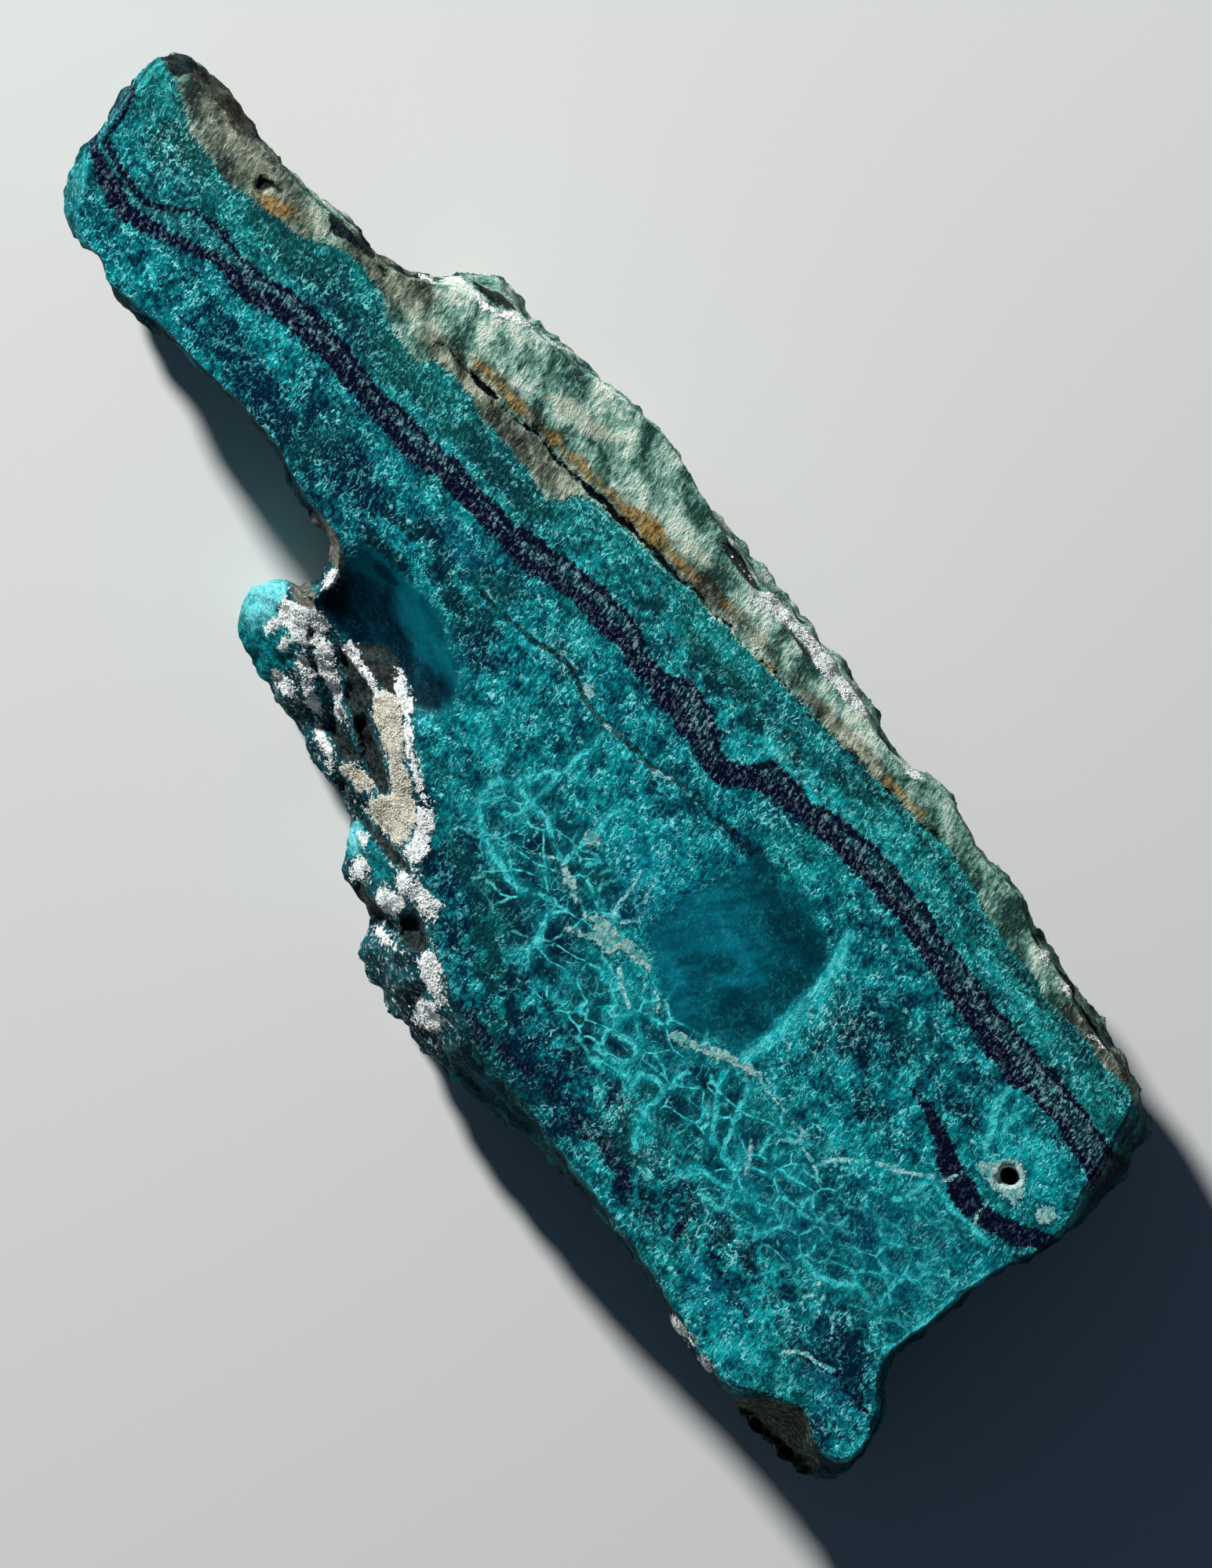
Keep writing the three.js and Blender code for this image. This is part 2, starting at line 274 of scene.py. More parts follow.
UPPER_BAND = [
    (-63.6, 1.9), (-62.8, 1.3), (-62.2, 0), (-62, -1.2), (-61.4, -2.1), (-60, -2.5), (-58, -2.8),
    (-56, -2.6), (-54.5, -1.8), (-53.5, -0.6), (-52, 0.2), (-47, 0.6), (-43, 1.9), (-39, 2.5),
    (-35, 2.5), (-31, 3), (-27, 3.7), (-23, 4), (-19, 4.6), (-17, 5.4), (-15, 6.1), (-11, 6.9),
    (-9, 7.2), (-6.4, 6.5), (-4.6, 6.4), (-3, 7.4), (-1, 7.7), (0.4, 7.8), (1.4, 7.4), (2.2, 6.8),
    (3.2, 6.4), (4.4, 6.6), (5.2, 7.5), (6, 8.7), (7, 9.3), (8.5, 9.5), (10, 9.2), (11, 9.8),
    (14, 10.8), (16, 11.3), (22, 11.3), (27, 11.1), (33, 11.2), (36, 11.4), (41, 11.7), (45, 11.4),
    (48, 10.8),
]
THIRD_BAND = [
    (9.5, 14.1), (12, 14), (16, 14.6), (20, 14.5), (24, 14), (28, 13.9), (32, 14.3), (36, 14.3),
    (40, 14.4), (43, 14.8),
]
SECOND_VEIN = [
    (32, 2.7), (34, 2.5), (36, 2.1), (38, 1.4), (40, 0.9), (42, 0.9), (44, 1.5), (45.5, 2.4),
    (47.6, 3.6),
]
SECOND_VEIN_WIDTHS = [(31.5, 0.2), (34, 0.5), (37, 0.75), (41, 1.0), (44, 0.85), (47, 0.7)]
LOWER_BAND = [
    (6.8, -20.6), (9, -20.6), (11.5, -20.2), (14, -19.4), (16.5, -18.9), (19, -19), (21.4, -18.4),
    (24, -18.7), (26.4, -18.6), (28.6, -18.1), (30.6, -17.6), (33, -17.2), (35.4, -17.6),
    (37.6, -17.9), (40, -17.6), (42, -16.5), (44, -15.3), (48, -15),
]
LOWER_WIDTHS = [
    (6, 0.5), (9, 0.8), (13, 0.5), (15, 0.25), (19, 0.35), (24, 0.6), (28, 0.5), (32, 0.2),
    (36, 0.3), (40, 0.1), (44, 0.25), (48, 0.2),
]
LOBE_LINE = [(43.5, -16.2), (45, -15), (47.5, -15), (50.5, -15.3), (52, -15.6)]
CRACK = [
    (-34.2, 8.2), (-33, 8.5), (-31.5, 8.7), (-29.5, 8.9), (-28, 9.3), (-26, 9.7), (-24, 10),
    (-22, 10.2), (-20, 10.5), (-18, 10.7), (-16, 11), (-14, 11.4), (-12, 11.6), (-10, 11.9),
    (-8, 12.1), (-6, 12.4), (-4, 12.7), (0, 13.2), (4, 13.4), (8, 14), (12, 14.6), (17, 15.3),
]
CRACK_WIDTHS = [
    (-34.2, 0.05), (-31.2, 0.08), (-30, 0.36), (-29, 0.34), (-27.8, 0.1), (-21, 0.12), (-18, 0.24),
    (-14, 0.22), (-11, 0.12), (-8, 0.14), (-4, 0.1), (-2, 0.02), (17, 0.02),
]
HAIRLINE = [
    (-19.5, -1), (-16, -0.3), (-12, 0.5), (-8, 1.4), (-5.6, 0.7), (-4, 0.9), (-2, 1.4), (0, 1.7),
    (2, 2.3), (4, 2.9), (7.4, 3.2), (10, 3.9),
]
MATRIX_LINE = [
    (-66, 5.3), (-63.4, 5), (-61, 4.3), (-59, 3.6), (-57, 3.1), (-55.5, 2.9), (-53, 3.1),
    (-52, 3.5), (-50.4, 4), (-49, 4.4), (-47, 5), (-45.6, 5.8), (-44.6, 6.8), (-42, 7.2),
    (-40, 7.2), (-38, 6.6), (-36, 6.2), (-34.5, 6.3), (-33.5, 7), (-31, 7.7), (-27, 7.5),
    (-23, 7.9), (-20, 7.9), (-19.2, 8.4), (-18.8, 9.6), (-17.6, 10.3), (-16, 10.8), (-12, 11.4),
    (-8, 12), (-4, 12.6), (0, 13), (6, 13.9), (12, 14.6), (17, 15.3), (20, 15.6), (25, 15),
    (28, 14.8), (37, 14.9), (42, 15.3), (48, 16),
]
print("points that the main band runs through:", len(MAIN_BAND))

# %% [markdown]
# Quartz filled the cracks that opened last, and those veins are white. Older cracks healed with
# copper ore and are pale teal. Each vein is its half width and the points it runs through.

# %% The veins
WHITE_VEINS = [
    (0.1, [(12.4, -7.5), (13.2, -8.4), (13.8, -9)]),
    (0.09, [(14.2, -8.4), (15.4, -8.8), (15.7, -9.4)]),
    (0.16, [(11.4, -9.4), (12.2, -10), (13.2, -10.2), (14, -10.6), (13.8, -11.8)]),
    (0.08, [(24, -5.9), (25.5, -6.1), (27, -6), (29.5, -5.9), (30.3, -5.2), (32, -4.8)]),
    (0.1, [(29.4, -6.2), (30.8, -6.6), (32, -6.8), (33, -7)]),
    (0.15, [(32.3, -6.3), (32.6, -5.2), (33.4, -4.2), (34.3, -3.2), (35, -2.6), (36, -2),
        (37, -1.4), (38.2, -0.2)]),
    (0.08, [(29.8, -6.4), (28.8, -7.6), (28.5, -8.8), (28, -9.8)]),
    (0.09, [(27.5, -9.4), (28.3, -10.3), (29.4, -11.6)]),
    (0.09, [(39.2, 1.8), (38.9, 0.6), (38.7, 0)]),
    (0.12, [(41.8, 1.9), (42.2, 1), (42.6, 0.1)]),
    (0.17, [(41.6, -17), (42.6, -16), (43.4, -15.6), (44.2, -15.3), (44.9, -14.9)]),
    (0.1, [(6.6, -3.8), (7, -5), (7.4, -6.2), (7.8, -7.4), (7.9, -8)]),
    (0.1, [(7.9, -3.4), (8.4, -4.6), (9, -5.6), (9.1, -6.2), (8.6, -7.4)]),
    (0.08, [(8.6, -4.6), (9.4, -5.6)]),
    (0.08, [(-0.9, -7.6), (-0.6, -8.2), (-0.5, -9)]),
    (0.08, [(1.8, -8), (1.2, -9), (0.2, -9.6), (-0.4, -9.8)]),
    (0.09, [(-17.4, -0.3), (-16.2, 0)]),
    (0.09, [(-13.6, 0.4), (-12.2, 0.8)]),
    (0.1, [(-9.8, 1.3), (-8.4, 1.7)]),
    (0.15, [(-6.9, 1.1), (-5.4, 0.6), (-4, 0.8), (-2.6, 1.3)]),
    (0.15, [(-0.2, 1.4), (1.5, 2), (3, 2.6), (4, 2.8)]),
    (0.08, [(28.3, 8.9), (28.8, 8.2), (28.9, 7.5), (29, 6.8)]),
    (0.1, [(36.8, 8.9), (37, 9.8), (37, 10.4)]),
    (0.07, [(38.2, 9.6), (38.5, 10.4), (38.2, 11.2)]),
    (0.13, [(39, -11.8), (39.4, -12.6), (39.2, -13.4)]),
    (0.13, [(40.1, -12.2), (40.5, -12.9), (40.9, -13.2)]),
    (0.07, [(41.6, -12.6), (42.4, -13), (43, -13.6)]),
    (0.07, [(-18.4, 9.8), (-16, 10.3), (-14, 10.8), (-12, 11.2), (-10, 11.6)]),
    (0.06, [(-8, 12.3), (-6, 12.6), (-4.2, 12.9)]),
]
PALE_VEINS = [
    (0.3, [(20, 6), (20.3, 5), (20.8, 3.6), (21.2, 2.4), (21.6, 1.2), (21.7, 0), (22.3, -2.2),
        (22.5, -5), (22.6, -6.2)]),
    (0.14, [(-3.6, 0.2), (-3.1, -1), (-3.2, -2.2), (-2.9, -3), (-3.2, -4.2), (-3.6, -4.6),
        (-4.1, -6.2), (-4.6, -7.2)]),
    (0.13, [(-4.6, -7.2), (-5.4, -7.8), (-5.5, -8.6), (-5.4, -9.6), (-4.6, -10.5), (-3.6, -11.3),
        (-2, -11.6), (1.5, -11.8), (3, -11.2), (3.9, -10.5)]),
    (0.1, [(-3, -4.4), (-2.7, -5.4), (-2.7, -6.6), (-2.8, -7.4)]),
    (0.12, [(-4.6, -7.3), (-3.4, -7), (-1, -7.1), (1, -7.6), (2.4, -8)]),
    (0.12, [(-2.8, -7.4), (-2.2, -8.4), (-2.6, -9), (-3.4, -9.4)]),
    (0.16, [(1.8, -1.8), (1.7, -3), (2, -4.2), (2.1, -5.4), (2.4, -6), (2.2, -7.2), (2.4, -8)]),
    (0.12, [(3.8, -5.8), (3.6, -6.8), (3.9, -7.8)]),
    (0.12, [(4.6, -11), (5.6, -12.4), (6, -13.8), (5.4, -15.4)]),
    (0.12, [(14.4, -13), (15.5, -12.2), (17, -12.1), (17.4, -13), (16.6, -14), (15, -14.2),
        (14.4, -13)]),
    (0.14, [(18.7, -14), (18.6, -13), (19.4, -12.3), (20.4, -12.4), (20.9, -13.4), (20.6, -14.6)]),
    (0.12, [(24.2, -7), (25, -8.5), (26, -10), (27, -11.8)]),
    (0.12, [(22, -8), (24, -10), (25.8, -11.8)]),
    (0.1, [(27.2, -11.9), (28.4, -11.4), (29.2, -12.4), (28, -13.4), (26.2, -14.2)]),
    (0.13, [(33.6, -8), (33.5, -9), (34, -9.7), (35.2, -9.5), (35.3, -8.8), (35, -7.8)]),
    (0.1, [(36.6, -9), (36.9, -10.6), (36.9, -12)]),
    (0.12, [(38, -2.1), (39, -2.6), (40, -3)]),
    (0.12, [(38.2, -0.2), (38, -2.1), (37.6, -3.6)]),
    (0.14, [(40.8, -9.6), (40.2, -10.8), (38.6, -11.6), (36.6, -11.8)]),
    (0.3, [(36.3, 8.5), (36.5, 7), (37, 6), (37.8, 5.2), (38.4, 4.4)]),
    (0.16, [(38, 8.4), (38.2, 6.6), (39, 5.2)]),
    (0.16, [(38, -0.4), (40.5, -0.6), (42.6, -0.3), (44.2, 0)]),
    (0.16, [(46.3, -0.4), (46.1, -3), (46.2, -6), (46.5, -8.4), (46.2, -11)]),
    (0.14, [(20.8, -14), (21.6, -15.4), (22.6, -16.6)]),
]
print("veins:", len(WHITE_VEINS), "white and", len(PALE_VEINS), "pale")

# %% [markdown]
# Patches that have a clear edge are closed outlines: the quartz crusts and dark pits on the slope,
# the clear oval, the smooth hollow, the stains, and the widest parts of the quartz veins. Each pit
# has its depth in millimetres before its outline.

# %% Outlined patches
VEIN_BODIES = [
    [(2.4, -8), (3.6, -8), (5, -8.5), (6.2, -8.7), (7, -8.25), (8.3, -7.85), (9.3, -7.9),
     (10.4, -7.45), (11.8, -7.1), (12.7, -7.7), (12, -8), (10.8, -8.1), (10.1, -8.6), (9.9, -9.5),
     (9, -9.55), (8, -10), (6.8, -10.7), (6.3, -10.9), (6.8, -10.3), (7.8, -9.6), (7.6, -9.1),
     (6.2, -9), (4.6, -8.9), (3.4, -8.5)],
    [(17.6, -8.8), (18.4, -8.6), (19.4, -8), (20.6, -7.2), (22, -6.5), (23.4, -5.9), (24.4, -5.7),
     (24, -6.2), (22.6, -6.9), (21, -7.7), (19.6, -8.5), (18.6, -9.1), (17.7, -9.7)],
    [(1.6, -5), (2.1, -4.5), (2.8, -5), (2.3, -5.7)],
    [(39.2, 3.3), (40, 3.9), (40.3, 4.8), (40.8, 5.3), (42, 5.4), (42.7, 4.6), (43.5, 3.4),
     (42.4, 3.3), (41.6, 2.9), (40.6, 2.9), (39.8, 2.8)],
    [(44.8, 4.8), (45.2, 5.5), (45.9, 5.3), (46.1, 4.6), (45.5, 4.1), (45, 4.2)],
    [(-7.4, 1.2), (-6.8, 1.8), (-6.1, 1.3), (-6.8, 1)],
]
WHITE_CRUSTS = [
    [(-25.6, -8.3), (-25, -7.9), (-24.6, -8.8), (-24.9, -9.9), (-25.4, -9.4)],
    [(-26.2, -12.4), (-25, -12), (-24.1, -11.1), (-22.3, -11), (-22, -12.2), (-22.2, -13.5),
     (-24, -13.9), (-25.8, -13.4)],
    [(-22.1, -12), (-20.9, -11.9), (-19, -13), (-18, -13.4), (-18.6, -14), (-20.2, -13.9),
     (-22, -12.9)],
    [(-22.3, -14.1), (-21, -14), (-19.8, -14.8), (-18.4, -15), (-18, -15.9), (-19.6, -16),
     (-20.6, -15.2), (-22, -14.7)],
    [(-22.4, -16.1), (-20.6, -15.8), (-19.7, -16.4), (-21, -16.9), (-22.4, -16.6)],
    [(-25.5, -14), (-24.8, -14), (-24.6, -15), (-25.2, -15.4), (-25.6, -14.8)],
    [(-23.8, -14.4), (-23.1, -14.4), (-23.1, -15.2), (-23.7, -15.2)],
    [(-17.2, -8.8), (-15.2, -9.2), (-13.8, -9.7), (-12.6, -10.7), (-11.4, -11.7), (-9.6, -12.4),
     (-8, -12.9), (-6.8, -13.1), (-7.6, -13.7), (-9.4, -13.2), (-11.2, -12.5), (-12.8, -11.4),
     (-14.4, -10.6), (-15.4, -10)],
    [(-6.9, -13.2), (-5.8, -14), (-4.8, -15), (-4.2, -15.4), (-4.1, -16.6), (-3.5, -17),
     (-5.4, -17), (-6, -15.8), (-6.9, -14.6), (-7.8, -13.9)],
    [(-17.3, -16.2), (-15.6, -16.5), (-14, -17.2), (-13.5, -17.8), (-14.6, -17.6), (-16.4, -16.9)],
    [(-18.4, -13.2), (-17.6, -13.8), (-16.6, -14.2), (-15.8, -14.8), (-16.8, -14.8), (-18, -14.2)],
    [(-20.6, -10.7), (-18.6, -10.8), (-16.6, -10.9), (-16.4, -11.5), (-18.4, -11.3),
     (-20.4, -11.4)],
    [(-4.5, -18.3), (-3.3, -17.5), (-1.8, -17.1), (-0.5, -17.1), (-0.5, -18.6), (-2, -18.8),
     (-3.6, -18.9)],
    [(-4.3, -19.8), (-3, -19.2), (-2.1, -19.7), (-2.2, -20.5), (-4.2, -20.7)],
    [(-7.3, -19.8), (-6.2, -19.8), (-5.8, -20.8), (-6.4, -21.4), (-7.2, -20.7)],
    [(-8.9, -18.7), (-7.2, -18.6), (-7.3, -19), (-8.6, -19.1)],
    [(1.4, -20.1), (2.3, -19.8), (3.8, -20.6), (5.4, -21.3), (5, -21.8), (3.4, -21.7), (2, -21.5)],
    [(4, -22.4), (5.6, -22), (6.7, -22.6), (6.4, -23.6), (5.2, -24.1), (4.2, -23.6)],
    [(-2.4, -22), (-1, -21.7), (0.2, -21.8), (-0.6, -22.3), (-2.1, -22.5)],
    [(-38.9, 11.6), (-38.2, 12.2), (-37.9, 11.7), (-38.5, 11.1)],
    [(-37.6, 12.9), (-36.9, 13.5), (-36.3, 13.1), (-36.9, 12.7)],
    [(-36, 12.9), (-35, 13.3), (-33.6, 13.3), (-32.4, 14.2), (-31.2, 14.9), (-30.6, 14.7),
     (-32, 13.9), (-33.2, 13), (-34.6, 12.5)],
    [(-30.6, 15.3), (-29.4, 15.9), (-28, 16), (-28.4, 15.6), (-30, 15.1)],
    [(-5.1, 15.4), (-4.6, 16.4), (-4, 17.4), (-3, 18), (0, 18.1), (3, 18.3), (5, 18.1), (8, 17.2),
     (6.6, 16.6), (4, 16.2), (2.4, 16), (1.6, 16.5), (0, 16.7), (-1.6, 16.3), (-3.6, 15.5),
     (-4.6, 15.2)],
    [(-8.4, 16), (-7, 16.2), (-5.6, 16.7), (-6.8, 17), (-8.8, 16.9)],
    [(-9.4, 17.3), (-7.4, 17.5), (-6, 17.8), (-9, 17.9)],
    [(29.3, 16.3), (30.3, 16.2), (30.4, 17.2), (29.4, 17.5)],
    [(32, 16.2), (32.9, 16.1), (33.1, 16.5), (32.2, 16.7)],
    [(36.8, 15.6), (38.2, 15.7), (38.3, 16.1), (36.9, 16.1)],
    [(34.6, -22), (36.4, -21.9), (37.3, -22.1), (36, -22.6), (34.8, -22.5)],
    [(38.3, -22), (39.3, -22), (39.4, -22.5), (38.4, -22.5)],
    [(12.6, 16.6), (13.8, 17), (13.6, 17.7), (12.6, 17.4)],
]
CREAM_CRUSTS = [
    [(-16.3, -11.2), (-15.6, -10.5), (-14.4, -10.4), (-13.4, -11), (-12, -12), (-11, -12.7),
     (-11.3, -13.1), (-12.6, -13.4), (-14, -12.9), (-15.8, -12.1)],
    [(-11.8, -13.2), (-10.2, -12.9), (-8.6, -13.6), (-7.2, -14.5), (-6.2, -15.8), (-6, -16.9),
     (-8, -17.2), (-9.9, -17.3), (-10.1, -16), (-9.5, -15.4), (-10.2, -14.4), (-11.6, -13.8)],
    [(-13.8, -16.7), (-12.5, -15.8), (-11, -15.5), (-10.8, -16.3), (-12, -16.9), (-13.5, -17.1)],
]
PITS = [
    (0.7, [(-21, -11.3), (-19.4, -11.4), (-16.4, -11.4), (-15.6, -12.6), (-16, -13.8),
        (-17.5, -13.6), (-18.3, -12.7), (-19.8, -12.1)]),
    (1.4, [(-15.6, -12.8), (-13.8, -13.4), (-12, -14), (-10.5, -14.6), (-9.7, -15.3),
        (-10.2, -15.7), (-12, -15.5), (-14, -14.8), (-15.6, -14)]),
    (0.8, [(-17.4, -15), (-15.2, -15), (-12.9, -15.3), (-13.6, -16.4), (-14.8, -16.3),
        (-16.2, -16)]),
    (1.0, [(-13.4, -17.3), (-12, -17.4), (-10, -17.8), (-8, -17.4), (-5, -17.2), (-3.6, -17.2),
        (-4.8, -18), (-8, -18.3), (-10.4, -18.2), (-12.4, -18)]),
    (2.0, [(-1.8, -19.5), (-1, -19), (0.2, -19.2), (1.3, -19.7), (1.4, -20.5), (0.8, -21.1),
        (-0.6, -21.2), (-1.5, -20.6)]),
    (0.7, [(-12.9, -11.4), (-12, -11.7), (-11.3, -12.2), (-10.9, -12.9), (-11.6, -12.6),
        (-12.4, -12)]),
    (0.5, [(-9.2, -13.1), (-8.2, -13.4), (-7.8, -13.9), (-8.8, -13.6)]),
    (0.8, [(-6, -20.9), (-4.4, -21), (-2.2, -20.9), (-2.4, -21.7), (-4.4, -22), (-5.8, -21.8)]),
    (0.4, [(-23.4, -12.1), (-22.6, -12.2), (-22.3, -13.2), (-22.9, -13.1)]),
    (0.5, [(-37, 14), (-36, 14.9), (-34, 15.2), (-32.6, 14.9), (-33.6, 14.2), (-34.8, 14.1)]),
    (0.6, [(-9.6, 16.1), (-8, 17.3), (-6, 17.2), (-4.6, 16.9), (-5.2, 16.1), (-7.6, 15.8)]),
    (0.6, [(-2.2, 16.2), (-0.6, 16.7), (1.2, 16.6), (2, 16.1), (0.4, 15.9)]),
    (0.8, [(27.4, 17.3), (29, 16.7), (29.2, 17.3), (28.4, 17.7)]),
    (0.8, [(31, 16.8), (32.4, 16.8), (34, 16.8), (34, 17.4), (32, 17.6)]),
    (1.0, [(34.3, 16.2), (36, 16), (36.8, 16.3), (37.5, 16.9), (36, 17.2), (34.6, 17.2)]),
]
SLOPE_TEAL = [
    [(-28.4, -11.4), (-26.2, -12.2), (-25.9, -13.6), (-26, -15), (-24, -15.6), (-22.2, -15.4),
     (-21.4, -16.8), (-22.6, -17.8), (-25.4, -17.6), (-28, -16), (-28.8, -13.6)],
    [(-26, -13.5), (-22.2, -13.8), (-22, -15.8), (-24.6, -16.2), (-26, -15.2)],
    [(-9.6, -18.3), (-7, -18.3), (-4.6, -18.8), (-4.8, -19.8), (-7, -20), (-8, -20.8),
     (-9.4, -19.4)],
    [(-19.8, -14.4), (-18.2, -14.6), (-17.9, -15.8), (-19.2, -15.9)],
    [(-6.2, -12.6), (-4.8, -13), (-4.2, -14.8), (-4.7, -15), (-5.8, -13.9)],
]
OVAL = [
    [(10.4, 3.6), (12.4, 4.4), (15, 4.9), (18, 4.6), (20, 3.8), (20.9, 2), (21.3, 0), (21.8, -2),
     (22, -4.4), (21.6, -6), (19.6, -7.3), (17.4, -8.2), (15, -8), (13, -7.3), (11, -6.6),
     (10, -5.6), (9.9, -3), (10.4, -0.6), (10.6, 1.6)],
]
HOLLOW_SMOOTH = [
    [(-25.4, -4.6), (-23, -4), (-20, -3.9), (-17, -4.1), (-14.6, -4.8), (-12.8, -6), (-11.8, -7.8),
     (-12.4, -9.4), (-13.8, -9.7), (-16, -9.2), (-18.4, -9.2), (-19.6, -10.6), (-24.6, -10.9),
     (-25, -8), (-25.6, -6.4)],
]
# The darkest part of the hollow's floor: partly its deep colour, partly painted shade where the arm
# keeps the light out.
HOLLOW_DARK_AND_SHADE = [
    [(-24.6, -7.4), (-23.4, -6.6), (-21.6, -6.1), (-20.4, -6.5), (-18, -6.9), (-14.4, -6.7),
     (-12.8, -7.2), (-12.2, -8.4), (-12.8, -9.5), (-16, -9.1), (-18.4, -9.1), (-20, -10.3),
     (-24.4, -10.5)],
]
# Strokes of painted shade round the hollow's brow, where the face turns away from the light.
SHADE_STROKES = [
    [(-27.6, -2.6), (-25.6, -1.7), (-24, -0.7), (-22, -0.3), (-20, -1), (-18.6, -2.2), (-20, -2.6),
     (-22, -1.7), (-24, -2.1), (-26, -3)],
    [(-27.6, -4.6), (-25, -3.7), (-22, -3.5), (-21, -4), (-23.4, -4.5), (-26, -5.1)],
    [(-22.6, -2.6), (-19, -1.7), (-16.4, -2.2), (-17.4, -3), (-20, -3.1)],
    [(-25.4, -5.6), (-23.6, -5), (-21.6, -5), (-23, -5.7)],
]
LEDGE = [
    [(-30, -6.9), (-28, -6.4), (-26.2, -6.8), (-25.1, -7.8), (-25.9, -8.1), (-28.4, -8.2)],
    [(-26.2, -10.2), (-24.9, -10.6), (-24.1, -11.2), (-25.4, -12), (-26.6, -11.6)],
]
# The inner side of the crest, painted dark as shade.
CREST_SHADE = [
    [(-19.8, -10.9), (-19.4, -9.6), (-18.2, -8.7), (-17, -8.8), (-15.4, -9.7), (-15, -10.3),
     (-16.6, -10.7)],
]
SCOOP = [
    [(42.6, -21.4), (43.6, -20.1), (44.6, -19.3), (46, -18.4), (46.8, -18.6), (48, -19.1),
     (49, -19.7), (50, -19.8), (50.2, -21.4), (48, -22.8), (44, -23.2), (42, -22.6)],
]
DARK_SPOTS = [
    [(-52.3, 5.4), (-50.4, 6.15), (-50.3, 5.8), (-51, 5.3), (-51.2, 4.5), (-51.9, 4.4), (-52.3, 5)],
    [(-47, 8.1), (-46, 8.6), (-44.6, 8.6), (-43.8, 9.1), (-42.2, 9.1), (-42, 8.3), (-44.2, 7.6),
     (-45.4, 7), (-46.6, 7.6)],
    [(-64.2, 5), (-63, 4.9), (-62, 4.8), (-61.6, 5.8), (-61.8, 6.8), (-63, 6.8)],
    [(-42, 9.3), (-40, 9.7), (-38.8, 10.7), (-38, 11.9), (-38.6, 12), (-39.6, 11), (-40.6, 10.4)],
    [(-41.8, 8.3), (-40.6, 8.2), (-40.4, 8.6), (-41.2, 8.9)],
    [(16.9, 15.4), (18, 15.3), (18.8, 15.7), (17.6, 15.9)],
    [(30.9, 17.2), (32.4, 16.9), (34.2, 16.3), (36.4, 16.1), (38.6, 16.3), (38.4, 16.8), (35, 17.1),
     (32.4, 17.7)],
    [(24.4, 17.9), (26.4, 17.3), (28.8, 16.9), (28.6, 17.3), (26.4, 17.8)],
    [(-36.4, 14), (-35.6, 14.9), (-34, 15.2), (-32.4, 15), (-33, 14.2), (-34.4, 13.6),
     (-35.6, 13.5)],
]
BROWN_EDGE = [
    [(-62, 6), (-60, 6.1), (-58.4, 5.8), (-56, 6.2), (-54.6, 6.7), (-53.6, 7.4), (-58, 7.7),
     (-61.4, 7.3)],
]
STAINS = [
    [(-24, 10.5), (-20, 10.9), (-16, 11.4), (-12, 12), (-9, 12.3), (-8, 12.8), (-9, 13.3),
     (-10.5, 13.1), (-12, 12.9), (-13, 13.4), (-15.4, 13.2), (-16.2, 12.3), (-18, 11.8),
     (-20, 11.7), (-24, 11.2)],
    [(-51.3, 4.2), (-50.4, 5.2), (-49, 5.9), (-48.2, 5.5), (-49.4, 4.5), (-50.6, 4)],
    [(12.2, 14.7), (14.2, 15.1), (16.4, 15.4), (16.4, 15.9), (14.4, 15.8), (12.4, 15.4)],
    [(-6.1, 13.3), (-5.2, 13.4), (-5, 13.9), (-5.8, 14)],
    [(-1, 13), (0.4, 13), (0.6, 13.5), (-0.8, 13.5)],
    [(-31.6, 9.4), (-29, 9.9), (-26, 10.3), (-26, 10.8), (-29, 10.5), (-31.6, 9.9)],
]
PALE_LENSES = [
    [(4, 14.2), (5.4, 14.3), (6.2, 14.9), (5, 15.1)],
    [(6.6, 14.6), (8.6, 14.5), (9.2, 14.9), (8.4, 15.3), (6.9, 15.2)],
    [(-12, 13.2), (-10, 13.6), (-8.4, 14.2), (-9.6, 14.7), (-11.6, 14)],
    [(-26.4, 12.2), (-24, 12.4), (-20.6, 13.8), (-19.8, 15), (-22, 14.4), (-25, 13.8)],
]
outline_groups = (WHITE_CRUSTS, CREAM_CRUSTS, PITS, SLOPE_TEAL, DARK_SPOTS, STAINS)
print("outlined patches:", sum(len(group) for group in outline_groups))

# %% [markdown]
# Patches that fade out are soft ellipses: a centre, two half sizes, and a turn in degrees.

# %% Soft patches
PATCHY_ZONES = [(10, -17, 9, 4, 0), (22, -16.5, 9, 4, 0), (34, -16.5, 9, 4, 0), (0, 9, 16, 2.4, 6)]
BLUE_ZONES = [
    (7, -3, 4.4, 3.4, 0), (41, -6, 5.4, 4, 0), (33, -10.6, 5.4, 2, 0), (16, -3.6, 5.4, 3, 0),
    (-20.6, 0.6, 2.2, 1.4, 0), (-22, -8, 6, 3.6, 0), (36, -18.6, 5, 1.6, 0),
    (46.4, -16.4, 3, 1.4, 0),
]
OVAL_DEPTHS = [
    (16.6, 2.6, 4.6, 1.9, 0), (19.4, -4.2, 2.2, 2.2, 20), (20, 0.4, 1.5, 3, 0),
    (12.6, 3.4, 2.2, 1, 0),
]
OVAL_LIGHTS = [
    (12, -3, 2.4, 3.4, 0), (15.6, -1.6, 3, 0.8, 0), (13.5, -6.4, 3, 1, -12),
    (17.8, -3, 0.7, 2, -24),
]
